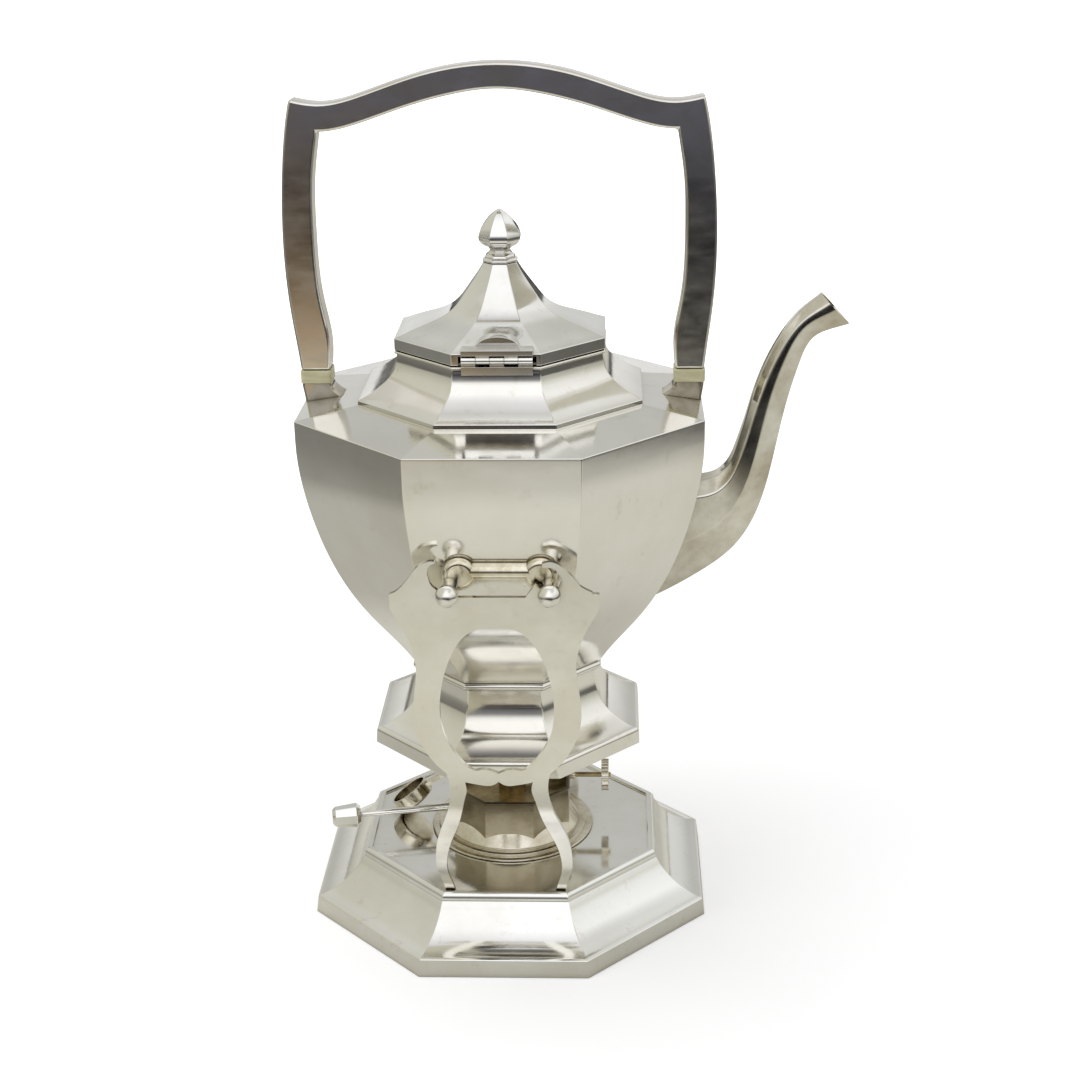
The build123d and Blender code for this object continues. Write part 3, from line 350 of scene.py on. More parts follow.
def octagonSweepTree():  # an outline carried round eight sides; a large corner radius makes it round
    sides = 8
    facetAngle = 2 * pi / sides
    tree, given = geometryTree("octagonSweep", {
        "cornerRadius": "NodeSocketFloat", "arcSteps": "NodeSocketInt", "finish": "NodeSocketMaterial"})
    size = treeNode(tree, "GeometryNodeAttributeDomainSize", {"Geometry": given["Geometry"]}, component="MESH")
    perCorner = reckon(tree, "ADD", given["arcSteps"], 1.0)
    ringSize = reckon(tree, "ADD", reckon(tree, "MULTIPLY", perCorner, float(sides)), 1.0)
    grid = treeNode(tree, "GeometryNodeMeshGrid", {"Vertices X": size.outputs["Point Count"],
                                                   "Vertices Y": ringSize})
    index = treeNode(tree, "GeometryNodeInputIndex").outputs[0]
    along = reckon(tree, "FLOOR", reckon(tree, "DIVIDE", reckon(tree, "ADD", index, 0.5), ringSize))
    around = reckon(tree, "SUBTRACT", index, reckon(tree, "MULTIPLY", along, ringSize))
    place = treeNode(tree, "GeometryNodeInputPosition").outputs[0]
    sample = treeNode(tree, "GeometryNodeSampleIndex", data_type="FLOAT_VECTOR", domain="POINT")
    feed(tree, given["Geometry"], sample.inputs["Geometry"])
    feed(tree, place, next(s for s in sample.inputs if s.name == "Value" and s.enabled))
    feed(tree, along, sample.inputs["Index"])
    point = treeNode(tree, "ShaderNodeSeparateXYZ", {"Vector": sample.outputs[0]}).outputs
    corner = reckon(tree, "FLOOR", reckon(tree, "DIVIDE", reckon(tree, "ADD", around, 0.5), perCorner))
    step = reckon(tree, "SUBTRACT", around, reckon(tree, "MULTIPLY", corner, perCorner))
    cornerAngle = reckon(tree, "MULTIPLY", reckon(tree, "ADD", corner, 0.5), facetAngle)
    turn = reckon(tree, "SUBTRACT", reckon(tree, "DIVIDE", step, given["arcSteps"]), 0.5)
    arcAngle = reckon(tree, "MULTIPLY_ADD", turn, facetAngle, cornerAngle)
    radius = reckon(tree, "MINIMUM", given["cornerRadius"], point["X"])
    reach = reckon(tree, "DIVIDE", reckon(tree, "SUBTRACT", point["X"], radius), cos(facetAngle / 2))
    spread = []
    for wave in ("COSINE", "SINE"):
        centre = reckon(tree, "MULTIPLY", reach, reckon(tree, wave, cornerAngle))
        spread.append(reckon(tree, "MULTIPLY_ADD", radius, reckon(tree, wave, arcAngle), centre))
    position = treeNode(tree, "ShaderNodeCombineXYZ", {"X": spread[0], "Y": spread[1], "Z": point["Z"]})
    placed = treeNode(tree, "GeometryNodeSetPosition", {"Geometry": grid.outputs["Mesh"],
                                                        "Position": position.outputs[0]})
    merged = treeNode(tree, "GeometryNodeMergeByDistance", {"Geometry": placed.outputs[0],
                                                              "Distance": meshing["weld"]})
    return closeTree(tree, merged.outputs[0], given["finish"])


def laidAlongX(tree, upright):
    turned = treeNode(tree, "GeometryNodeTransform", {
        "Geometry": upright.outputs[0], "Rotation": (0.0, pi / 2, 0.0)})
    return turned.outputs[0]


def ringOfRibsTree():  # small bars standing round a wheel's rim, along X
    tree, given = geometryTree("ringOfRibs", {
        "ribCount": "NodeSocketInt", "ringRadius": "NodeSocketFloat", "ribRadius": "NodeSocketFloat",
        "ribLength": "NodeSocketFloat", "finish": "NodeSocketMaterial"})
    rib = treeNode(tree, "GeometryNodeMeshCylinder", {
        "Vertices": meshing["ribSides"], "Radius": given["ribRadius"], "Depth": given["ribLength"]})
    ring = treeNode(tree, "GeometryNodeMeshCircle", {
        "Vertices": given["ribCount"], "Radius": given["ringRadius"]})
    ribs = treeNode(tree, "GeometryNodeInstanceOnPoints", {
        "Points": ring.outputs[0], "Instance": rib.outputs[0]})
    return closeTree(tree, laidAlongX(tree, ribs), given["finish"])


def strainerPunchTree():  # one hole in the middle and a ring of them, along X
    tree, given = geometryTree("strainerPunch", {
        "holeRadius": "NodeSocketFloat", "ringRadius": "NodeSocketFloat", "ringCount": "NodeSocketInt",
        "depth": "NodeSocketFloat", "finish": "NodeSocketMaterial"})
    punch = treeNode(tree, "GeometryNodeMeshCylinder", {
        "Vertices": meshing["punchSides"], "Radius": given["holeRadius"], "Depth": given["depth"]})
    ring = treeNode(tree, "GeometryNodeMeshCircle", {
        "Vertices": given["ringCount"], "Radius": given["ringRadius"]})
    punches = treeNode(tree, "GeometryNodeInstanceOnPoints", {
        "Points": ring.outputs[0], "Instance": punch.outputs[0]})
    both = treeNode(tree, "GeometryNodeJoinGeometry")
    tree.links.new(punches.outputs[0], both.inputs[0])
    tree.links.new(punch.outputs[0], both.inputs[0])
    return closeTree(tree, laidAlongX(tree, both), given["finish"])


def twistedStrandsTree():  # strands that wind up round an axis side by side
    tree, given = geometryTree("twistedStrands", {
        "strandCount": "NodeSocketInt", "coilRadius": "NodeSocketFloat", "strandRadius": "NodeSocketFloat",
        "height": "NodeSocketFloat", "turns": "NodeSocketFloat", "finish": "NodeSocketMaterial"})
    path = treeNode(tree, "GeometryNodeCurveSpiral", {
        "Resolution": meshing["coilSteps"], "Rotations": given["turns"], "Start Radius": given["coilRadius"],
        "End Radius": given["coilRadius"], "Height": given["height"]})
    section = treeNode(tree, "GeometryNodeCurvePrimitiveCircle", {
        "Resolution": meshing["strandSides"], "Radius": given["strandRadius"]})
    strand = treeNode(tree, "GeometryNodeCurveToMesh", {
        "Curve": path.outputs[0], "Profile Curve": section.outputs[0], "Fill Caps": True})
    starts = treeNode(tree, "GeometryNodePoints", {"Count": given["strandCount"]})
    index = treeNode(tree, "GeometryNodeInputIndex").outputs[0]
    angle = reckon(tree, "DIVIDE", reckon(tree, "MULTIPLY", index, 2 * pi), given["strandCount"])
    turn = treeNode(tree, "ShaderNodeCombineXYZ", {"Z": angle})
    strands = treeNode(tree, "GeometryNodeInstanceOnPoints", {
        "Points": starts.outputs[0], "Instance": strand.outputs[0], "Rotation": turn.outputs[0]})
    return closeTree(tree, strands.outputs[0], given["finish"])


octagonSweep = octagonSweepTree()
ringOfRibs = ringOfRibsTree()
strainerPunch = strainerPunchTree()
twistedStrands = twistedStrandsTree()


def plainMesh(holder, name):  # what the modifiers make of it, as a mesh of its own
    bpy.context.view_layer.update()
    depsgraph = bpy.context.evaluated_depsgraph_get()
    mesh = bpy.data.meshes.new_from_object(holder.evaluated_get(depsgraph), preserve_all_data_layers=True,
                                           depsgraph=depsgraph)
    mesh.name = name
    bpy.data.objects.remove(holder)
    return mesh


def heldObject(name, mesh):
    holder = bpy.data.objects.new(name + "Draft", mesh)
    scene.collection.objects.link(holder)
    return holder


def grown(name, source, tree, values):
    holder = heldObject(name, source)
    growth = holder.modifiers.new(tree.name, "NODES")
    growth.node_group = tree
    for socket in tree.interface.items_tree:
        if socket.in_out == "INPUT" and socket.name in values:
            growth[socket.identifier] = values[socket.name]
    return plainMesh(holder, name)


def weldedWork(mesh):
    work = bmesh.new()
    work.from_mesh(mesh)
    bmesh.ops.remove_doubles(work, verts=work.verts, dist=meshing["weld"])
    bmesh.ops.dissolve_degenerate(work, edges=work.edges, dist=meshing["weld"])
    return work


def written(work, mesh):  # the worked faces go into the mesh
    work.to_mesh(mesh)
    work.free()
    return mesh


def pointedOut(mesh):
    work = weldedWork(mesh)
    bmesh.ops.recalc_face_normals(work, faces=work.faces)
    return written(work, mesh)


def cutAway(mesh, cutter):
    holder = heldObject(mesh.name, mesh)
    cut = holder.modifiers.new("cut", "BOOLEAN")
    cut.operation = "DIFFERENCE"
    cut.solver = "EXACT"
    cut.object = cutter
    result = plainMesh(holder, mesh.name)
    bpy.data.objects.remove(cutter)
    return result


def smoothed(mesh, rounding=0.0, sharp=meshing["sharp"]):
    if rounding:
        holder = heldObject(mesh.name, mesh)
        bevel = holder.modifiers.new("roundedEdges", "BEVEL")
        bevel.width = rounding * millimetre
        bevel.segments = meshing["bevelSegments"]
        bevel.limit_method = "ANGLE"
        bevel.angle_limit = radians(meshing["bevelFrom"])
        mesh = plainMesh(holder, mesh.name)
    mesh.shade_smooth()
    mesh.set_sharp_from_angle(angle=radians(sharp))
    holder = heldObject(mesh.name, mesh)
    even = holder.modifiers.new("evenNormals", "WEIGHTED_NORMAL")
    even.keep_sharp = True
    even.weight = meshing["weight"]
    return plainMesh(holder, mesh.name)


def settle(name, mesh, *standsFor):
    mesh.name = name
    piece = bpy.data.objects.new(name, mesh)
    scene.collection.objects.link(piece)
    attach(piece, bodyOf[standsFor[0]])
    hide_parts(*standsFor)


def inMetres(piece, *names):  # the named sizes, for the inputs of a tree
    return {name: piece[name] * millimetre for name in names}


def octagonShell(name, piece, closed=True):  # a dictionary's outline swept into a mesh
    path = softened(piece["outline"], piece.get("rounding", meshing["rounding"]), closed)
    if closed:
        path.append(path[0])
    profile = bpy.data.meshes.new(name)
    profile.from_pydata([(x * millimetre, 0, z * millimetre) for x, z in path],
                        [(i, i + 1) for i in range(len(path) - 1)], [])
    return pointedOut(grown(name, profile, octagonSweep, {
        **inMetres(piece, "cornerRadius"), "arcSteps": piece.get("arcSteps", meshing["arcSteps"]),
        "finish": finish[piece["finish"]]}))


def blockCutter(name, low, high):
    work = bmesh.new()
    bmesh.ops.create_cube(work, size=1.0)
    middle = (Vector(low) + Vector(high)) / 2
    for vertex in work.verts:
        vertex.co = (middle + Vector([vertex.co[i] * (high[i] - low[i]) for i in range(3)])) * millimetre
    return heldObject(name, written(work, bpy.data.meshes.new(name)))


# kettle: bowl and shoulder, soldered together just below the sharp edge
vessel = {
    "cornerRadius": 0.9, "bowlRounding": 0.5, "shoulderRounding": 0.3, "finish": "kettleSilver",
    "bottom": [(0, 103.5), (36.2, 103.5)], "bottomInside": (0, 104.7),
    "side": flowing([(37.0, 104.6), (51.6, 124.98), (60.98, 141.02), (70.58, 167.96), (75.0, 199.0)],
                    (0.6, 1), (0, 1)),
    "inside": flowing([(35.8, 104.7), (50.33, 125.7), (59.78, 141.64), (69.38, 168.16), (73.8, 199.0)],
                      (0.6, 1), (0, 1)),
    "seam": [(75.0, 205.1, 0), (73.8, 205.1, 0)], "edge": (75.0, 206.3), "edgeRounding": 0.35,
    "ledge": [(52.5, 209.7), (52.4, 211.5)],
    "collar": flowing([(52.4, 211.5), (44.0, 216.3), (39.7, 220.6), (38.0, 227.6)], (-1, 0.35), (-0.05, 1)),
    "collarInside": flowing([(51.4, 208.5), (43.4, 214.9), (38.6, 220.2), (36.8, 227.4)], (-0.6, 1), (0, 1)),
    "rolledEdge": arcOf((38.0, 227.6), (38.9, 228.1), (38.4, 228.8)), "mouth": (36.8, 228.8),
}
strainer = {"holeRadius": 2.5, "ringRadius": 7.5, "ringCount": 6, "depth": 24.0, "place": (66.0, 0, 153.97)}


def kettleBowl():
    outline = (vessel["bottom"] + vessel["side"] + vessel["seam"] + vessel["inside"][::-1]
               + [vessel["bottomInside"]])
    bowl = {**vessel, "outline": outline, "rounding": vessel["bowlRounding"]}
    punch = grown("strainerPunch", bpy.data.meshes.new("strainerPunch"), strainerPunch, {
        **inMetres(strainer, "holeRadius", "ringRadius", "depth"), "ringCount": strainer["ringCount"],
        "finish": finish[vessel["finish"]]})
    punch.transform(Matrix.Translation([value * millimetre for value in strainer["place"]]))
    mesh = cutAway(octagonShell("kettleBowl", bowl, closed=False), heldObject("strainerPunch", punch))
    settle("kettleBowl", smoothed(mesh), "kettle_bowl")


def kettleShoulder():
    outerSeam, innerSeam = vessel["seam"]
    outline = ([outerSeam, (*vessel["edge"], vessel["edgeRounding"])] + vessel["ledge"] + vessel["collar"]
               + vessel["rolledEdge"] + [vessel["mouth"]] + vessel["collarInside"][::-1] + [innerSeam])
    shoulder = {**vessel, "outline": outline, "rounding": vessel["shoulderRounding"]}
    settle("kettleShoulder", smoothed(octagonShell("kettleShoulder", shoulder)), "kettle_shoulder")


def vesselBlock():  # the whole body as one solid, to trim what is soldered to it
    outline = (vessel["bottom"] + vessel["side"] + [vessel["edge"]] + vessel["ledge"] + vessel["collar"]
               + [(0, vessel["mouth"][1])])
    return heldObject("vesselBlock", octagonShell("vesselBlock", {**vessel, "outline": outline}, closed=False))


kettleBowl()
kettleShoulder()
print("kettle body made")


# kettle: neck ring and spreading foot
neckRing = {
    "cornerRadius": 0.8, "finish": "kettleSilver",
    "outline": [(33.0, 100.0), *arcOf((35.6, 100.0), (36.8, 101.75), (35.6, 103.5)), (33.0, 103.5)],
}
kettleFoot = {
    "cornerRadius": 0.8, "finish": "kettleSilver", "rounding": 0.3,
    "outline": [(51.9, 71.0), (51.6, 75.6), *arcOf((51.6, 75.6), (51.0, 77.2), (49.6, 77.6)),
                *flowing([(49.6, 77.6), (43.0, 80.6), (38.6, 84.4), (35.5, 90.4), (34.2, 100.0)],
                         (-1, 0.25), (0, 1)),
                (33.0, 100.0),
                *flowing([(50.4, 75.2), (42.2, 79.4), (37.3, 83.6), (34.2, 90.0), (33.0, 100.0)],
                         (-1, 0.25), (0, 1))[::-1],
                (50.4, 71.0)],
}
settle("neckRing", smoothed(octagonShell("neckRing", neckRing)), "neck_ring")
settle("kettleFoot", smoothed(octagonShell("kettleFoot", kettleFoot)), "kettle_foot")


# kettle: spout, through stations that give upper and lower edge, half width and where the upper crease lies
spout = {
    "stations": [(66.0, 173.18, 44.0, 120.0, 13.0, 0.06), (75.5, 174.3, 61.5, 128.5, 12.6, 0.08),
                 (80.6, 175.7, 75.0, 136.4, 11.4, 0.10), (85.2, 180.0, 88.0, 146.6, 9.6, 0.12),
                 (88.6, 188.4, 97.6, 163.4, 7.8, 0.14), (91.6, 198.4, 103.4, 187.0, 6.6, 0.16),
                 (95.6, 212.4, 107.6, 206.8, 6.0, 0.19), (101.2, 225.6, 111.6, 220.4, 5.5, 0.22),
                 (109.6, 238.2, 117.6, 230.4, 5.1, 0.24), (118.6, 245.9, 129.2, 234.4, 4.8, 0.26)],
    "wall": 0.9, "lowerCrease": 0.49, "flatShare": 0.36, "creaseRadius": 0.9, "sharp": 35,
    "finish": "spoutSilver",
}


def spoutRing(station, inset):
    upper = Vector((station[0], 0, station[1]))
    lower = Vector((station[2], 0, station[3]))
    down = (lower - upper).normalized()
    depth = (lower - upper).length - 2 * inset
    half = station[4] - inset
    flat = half * spout["flatShare"]
    right = [(flat, 0), (half, station[5] * depth), (half, spout["lowerCrease"] * depth), (flat, depth)]
    corners = right + [(-x, y) for x, y in reversed(right)]
    ring = softened(corners, spout["creaseRadius"], steps=3, always=True)
    return [(upper + down * (inset + y) + Vector((0, x, 0))) * millimetre for x, y in ring]


def kettleSpout():
    stations = spout["stations"]
    start = numpy.subtract(stations[1], stations[0])
    end = numpy.subtract(stations[-1], stations[-2])
    route = flowing(stations, start, end, steps=6)
    rings = [spoutRing(station, 0.0) for station in route]
    rings += [spoutRing(station, spout["wall"]) for station in reversed(route)]
    work = bmesh.new()
    loops = [[work.verts.new(spot) for spot in ring] for ring in rings]
    for here, following in zip(loops, loops[1:] + loops[:1]):
        for i in range(len(here)):
            j = (i + 1) % len(here)
            work.faces.new((here[i], here[j], following[j], following[i]))
    mesh = pointedOut(written(work, bpy.data.meshes.new("kettleSpout")))
    mesh.materials.append(finish[spout["finish"]])
    trimmed = cutAway(mesh, vesselBlock())
    settle("kettleSpout", smoothed(trimmed, sharp=spout["sharp"]), "spout")


kettleSpout()
print("foot and spout made")


# kettle: handle, one half of its outline, then mirrored
handle = {
    "outer": flowing([(-75.6, 218.3), (-78.6, 243.6), (-79.57, 270.0), (-78.1, 295.0), (-74.4, 318.5)],
                     (-0.1, 1), (0.25, 1)),
    "top": flowing([(-74.4, 318.5), (-63.7, 316.9), (-49.8, 319.7), (-27.0, 327.1), (0, 330.7)],
                   (1, -0.25), (1, 0)),
    "under": flowing([(0, 321.4), (-16.2, 319.5), (-32.8, 315.2), (-50.0, 309.5), (-64.9, 306.8)],
                     (-1, 0), (-1, 0.02)),
    "inner": flowing([(-64.9, 306.8), (-67.4, 290.0), (-68.1, 270.0), (-66.6, 243.6), (-64.3, 229.0),
                      (-64.8, 218.3)], (-0.15, -1), (-0.1, -1)),
    "halfDepth": 5.0, "rounding": 1.1, "finish": "handleSilver",
}


def kettleHandle():
    overLeft = handle["outer"] + handle["top"][1:]
    underLeft = handle["under"] + handle["inner"][1:]
    overRight = [(-x, z) for x, z in reversed(overLeft[:-1])]
    underRight = [(-x, z) for x, z in reversed(underLeft[1:])]
    outline = overLeft + overRight + underRight + underLeft
    work = bmesh.new()
    front, back = ([work.verts.new((x * millimetre, y * millimetre, z * millimetre)) for x, z in outline]
                   for y in (-handle["halfDepth"], handle["halfDepth"]))
    work.faces.new(front)
    work.faces.new(back[::-1])
    for i in range(len(outline)):
        j = (i + 1) % len(outline)
        work.faces.new((front[i], back[i], back[j], front[j]))
    mesh = pointedOut(written(work, bpy.data.meshes.new("kettleHandle")))
    mesh.materials.append(finish[handle["finish"]])
    settle("kettleHandle", smoothed(mesh, handle["rounding"]), "handle")


kettleHandle()
print("handle made")


# lid: shell notched for the hinge, bezel and bud-shaped finial
lid = {
    "cornerRadius": 0.7, "finish": "lidSilver", "rounding": 0.35,
    "outline": [(38.75, 229.2),
                *flowing([(38.75, 233.5), (33.0, 235.6), (25.0, 238.4), (18.0, 242.0), (12.4, 248.8),
                          (6.1, 258.6)], (-1, 0.25), (-0.5, 1)),
                (1.5, 258.6), (1.5, 257.2),
                *flowing([(37.75, 232.6), (32.6, 234.4), (24.6, 237.2), (17.2, 241.0), (11.2, 247.6),
                          (5.3, 257.2)], (-1, 0.25), (-0.5, 1))[::-1],
                (37.75, 229.2)],
    "notch": ((-13.5, -42.0, 228.0), (14.5, -35.75, 232.6)),
}
bezel = {
    "cornerRadius": 0.6, "finish": "lidSilver", "rounding": 0.15,
    "outline": [(36.0, 225.2), (36.0, 229.2), (37.75, 229.2), (37.75, 230.0), (35.1, 230.0), (35.1, 225.2)],
}
finialBase = 258.6
finial = {
    "cornerRadius": 0.45, "finish": "lidSilver", "rounding": 0.2,
    "outline": [(x, finialBase + up) for x, up in
                [(0, 0), (5.9, 0), *arcOf((5.9, 0), (6.4, 0.8), (5.5, 1.6)),
                 *arcOf((5.5, 1.6), (5.3, 2.4), (4.3, 3.3)),
                 *flowing([(4.3, 3.3), (3.7, 4.4), (4.4, 5.6)], (-0.5, 1), (1, 0.8)),
                 *flowing([(4.4, 5.6), (6.6, 7.0), (7.7, 9.2)], (1, 0.4), (0, 1)),
                 *flowing([(7.7, 9.2), (6.3, 13.2), (3.2, 17.2), (0.4, 19.4)], (0, 1), (-1, 0.6)), (0, 19.4)]],
}


def kettleLid():
    notch = blockCutter("hingeNotch", *lid["notch"])
    settle("lidShell", smoothed(cutAway(octagonShell("lidShell", lid), notch)), "lid_shell")
    settle("lidBezel", smoothed(octagonShell("lidBezel", bezel)), "lid_bezel")
    settle("lidFinial", smoothed(octagonShell("lidFinial", finial, closed=False)), "finial")


kettleLid()
print("lid made")


# stand: base with its hollow moulding and rounded ridge
standBase = {
    "cornerRadius": 0.9, "finish": "standSilver", "rounding": 0.35,
    "outline": [(78.1, 0), (77.2, 7.0), (76.1, 7.5),
                *flowing([(76.1, 7.5), (70.0, 9.7), (64.1, 14.2), (59.8, 20.0)], (-1, 0.15), (-0.45, 1)),
                (58.8, 21.6), *arcOf((58.8, 21.6), (58.0, 24.0), (56.4, 24.5)), (55.6, 24.5), (55.6, 23.5),
                (25.5, 23.5), (25.5, 22.0), (55.6, 22.0),
                *flowing([(76.0, 6.0), (69.4, 8.2), (63.0, 12.9), (58.6, 18.4)], (-1, 0.15), (-0.45, 1))[::-1],
                (76.0, 0)],
}
settle("standBase", smoothed(octagonShell("standBase", standBase)), "base_shell")


# spirit lamp: octagonal drum, round stepped flange, milled wheel and twisted wick
fullyRound = 100.0      # a corner radius wider than any outline here
lampDrum = {
    "cornerRadius": 0.6, "finish": "sootedAndShadedSilver", "rounding": 0.3,
    "outline": [(0, 12.0), (24.6, 12.0), (24.6, 23.6), (23.5, 23.6), (23.5, 43.8),
                *arcOf((23.5, 43.8), (24.0, 44.4), (23.5, 45.0)), (22.5, 45.0), (22.5, 13.0), (0, 13.0)],
}
lampFlange = {
    "cornerRadius": fullyRound, "arcSteps": 8, "finish": "lampSilver", "rounding": 0.3,
    "outline": [(22.9, 23.6), (33.0, 23.6), (33.0, 24.5), (30.2, 24.5), (30.2, 25.4), (27.4, 25.4),
                (27.4, 26.3), (23.5, 31.1), (22.9, 31.1)],
}
wheel = {
    "cornerRadius": fullyRound, "arcSteps": 7, "finish": "lampSilver", "rounding": 0.35,
    "outline": [(1.0, -1.5), (6.2, -1.5), (6.2, 1.5), (1.0, 1.5)], "hub": (38.2, 7.0, 41.8),
    "ribCount": 24, "ringRadius": 6.1, "ribRadius": 0.39, "ribLength": 2.96,
}
wick = {
    "strandCount": 9, "coilRadius": 3.3, "strandRadius": 1.15, "height": 31.2, "turns": 0.6, "foot": 17.05,
    "sharp": 60, "finish": "cottonWick",
}


def lampDrumAndFlange():
    settle("lampDrum", smoothed(octagonShell("lampDrum", lampDrum, closed=False)), "lamp_drum")
    settle("lampFlange", smoothed(octagonShell("lampFlange", lampFlange)), "lamp_drum")


def winderWheel():
    toHub = Matrix.Translation(Vector(wheel["hub"]) * millimetre)
    disc = octagonShell("winderWheel", wheel)
    disc.transform(toHub @ Matrix.Rotation(pi / 2, 4, "Y"))
    settle("winderWheel", smoothed(disc), "winder_wheel")
    ribs = grown("winderMilling", bpy.data.meshes.new("winderMilling"), ringOfRibs, {
        **inMetres(wheel, "ringRadius", "ribRadius", "ribLength"), "ribCount": wheel["ribCount"],
        "finish": finish[wheel["finish"]]})
    ribs.transform(toHub)
    settle("winderMilling", smoothed(pointedOut(ribs)), "winder_wheel")


def lampWick():
    strands = grown("wickStrands", bpy.data.meshes.new("wickStrands"), twistedStrands, {
        **inMetres(wick, "coilRadius", "strandRadius", "height"), "strandCount": wick["strandCount"],
        "turns": wick["turns"], "finish": finish[wick["finish"]]})
    strands.transform(Matrix.Translation((0, 0, wick["foot"] * millimetre)))
    settle("wickStrands", smoothed(pointedOut(strands), sharp=wick["sharp"]), "wick")


lampDrumAndFlange()
winderWheel()
lampWick()
print("stand base and lamp made")


# the solids whose shape is right keep it, welded, with their edges broken and a finish of their own
dressedPieces = {
    "front_upright": ("uprightSilver", 0.3), "rear_upright": ("uprightSilver", 0.3),
    "front_bracket": ("brownReflectionSilver", 0.2), "rear_bracket": ("brownReflectionSilver", 0.2),
    "pivot_pins": ("kettleSilver", 0.2), "rest_pins": ("kettleSilver", 0.2),
    "left_socket": ("socketSilver", 0.3), "right_socket": ("socketSilver", 0.3),
    "left_insulator": ("ivoryRing", 0.35), "right_insulator": ("ivoryRing", 0.35),
    "body_hinge_leaf": ("lidSilver", 0.15), "lid_hinge_leaf": ("lidSilver", 0.2),
    "hinge_pin": ("lidSilver", 0.1), "finial_nut": ("heatedBrass", 0.15),
    "base_plate": ("standSilver", 0.3), "lamp_well": ("lampSilver", 0.2),
    "burner_plate": ("heatedBrass", 0.15), "wick_tube": ("heatedBrass", 0.12),
    "lamp_handle": ("standSilver", 0.15), "lamp_knob": ("standSilver", 0.25),
    "snuffer_cap": ("lampSilver", 0.15), "snuffer_arm": ("lampSilver", 0.12),
    "snuffer_bracket": ("lampSilver", 0.12), "snuffer_pin": ("lampSilver", 0.08),
    "winder_spindle": ("heatedBrass", 0.1), "winder_pinion": ("heatedBrass", 0.08),
    "spindle_gland": ("lampSilver", 0.12),
}


def dressed(node, finishName, rounding):
    mesh = nodes[node].data.copy()
    work = weldedWork(mesh)
    flat = radians(meshing["flatFaces"])
    bmesh.ops.dissolve_limit(work, angle_limit=flat, verts=work.verts, edges=work.edges)
    written(work, mesh)
    mesh.materials.clear()
    mesh.materials.append(finish[finishName])
    mesh.name = node + "Dressed"
    settle(node + "Dressed", smoothed(mesh, rounding), node)


for node, (finishName, rounding) in dressedPieces.items():
    dressed(node, finishName, rounding)
print("solids dressed:", len(dressedPieces))


# studio: pale floor, soft surround and soft lamps; mirror rays alone see the ramps
floorLook = {
    "size": 12.0, "colour": 0.80, "lift": (0.34, 1.0), "liftOver": (0.25, 1.2),     # lift: for the camera
    "ahead": [(0.0, (0.04, 0.04, 0.045)), (0.175, (0.05, 0.05, 0.055)), (0.275, (0.32, 0.325, 0.42)),
              (0.42, (0.22, 0.225, 0.28)), (0.56, (0.045, 0.045, 0.04)), (0.73, (0.05, 0.05, 0.045)),
              (0.7825, (0.17, 0.165, 0.145)), (0.8125, (0.40, 0.39, 0.34)), (0.835, (0.62, 0.61, 0.54)),
              (0.869, (0.60, 0.59, 0.52)), (0.91, (0.72, 0.71, 0.63)), (0.9475, (0.70, 0.69, 0.61)),
              (1.0, (0.62, 0.61, 0.54))],
    "aheadOver": (-4.0, 0.0), "rightNearer": 0.24, "rightOver": (0.05, 0.15), "leftFurther": 0.07,
    "leftOver": (-0.17, -0.07),     # the dark starts nearer at the right and further off at the left
    "far": [(0.0, (1.3, 1.0, 0.75)), (0.32, (2.2, 1.6, 1.05)), (0.5, (1.0, 1.0, 1.0)),
            (0.62, (0.30, 0.30, 0.32)), (1.0, (0.25, 0.25, 0.27))],
    "farReach": 0.5, "farOver": (0.70, 0.85), "farGoneOver": (1.7, 2.2), "warm": (1.0, 0.98, 0.87),
    "left": [(0.0, 0.20), (0.42, 0.20), (0.50, 0.22), (0.64, 0.28), (0.70, 0.44), (0.86, 0.48), (0.93, 0.70),
             (1.0, 0.64)],
    "right": [(0.0, 0.15), (0.42, 0.17), (0.45, 0.45), (0.52, 0.57), (0.60, 0.70), (0.86, 0.70), (1.0, 0.62)],
    "sideReach": 1.2, "sideOver": (0.30, 0.65), "leastSpan": 0.02,
}
surround = {
    "plain": 0.62,
    "front": [(0.0, (0.06, 0.06, 0.06)), (0.012, (0.13, 0.13, 0.13)), (0.05, (0.23, 0.23, 0.24)),
              (0.075, (0.55, 0.55, 0.56)), (0.10, (0.98, 0.98, 0.98)), (0.15, (1.12, 1.12, 1.12)),
              (0.36, (1.10, 1.10, 1.11)), (0.45, (0.92, 0.92, 0.94)), (0.50, (0.78, 0.78, 0.80)),
              (0.55, (0.62, 0.62, 0.61)), (0.64, (0.80, 0.80, 0.79)), (0.75, (0.62, 0.62, 0.58)),
              (0.88, (0.47, 0.47, 0.45)), (1.0, (0.85, 0.85, 0.84))],
    "left": [(0.0, (0.44, 0.43, 0.36)), (0.06, (0.50, 0.49, 0.42)), (0.20, (0.58, 0.57, 0.48)),
             (0.50, (0.62, 0.61, 0.53)), (1.0, (0.62, 0.61, 0.55))],
    "right": [(0.0, (0.45, 0.45, 0.41)), (0.05, (0.52, 0.51, 0.45)), (0.12, (0.68, 0.68, 0.62)),
              (0.24, (0.84, 0.84, 0.82)), (0.50, (0.96, 0.96, 0.95)), (0.58, (0.70, 0.70, 0.68)),
              (1.0, (0.66, 0.66, 0.63))],
    "sideOver": (0.35, 0.80), "topOver": (0.90, 1.0), "leastFlat": 0.0001,
}
lampAim = (0, 0, 0.12)
lamps = {
    "overhead": {"place": (-0.3, 0.2, 1.6), "size": (1.4, 1.2), "power": 9.0},
    "leftSoft": {"place": (-1.2, -0.6, 0.9), "size": (0.7, 0.9), "power": 3.5},
}


def tintedStops(stops, tint):
    return [(place, tuple(value * part for part in tint)) for place, value in stops]


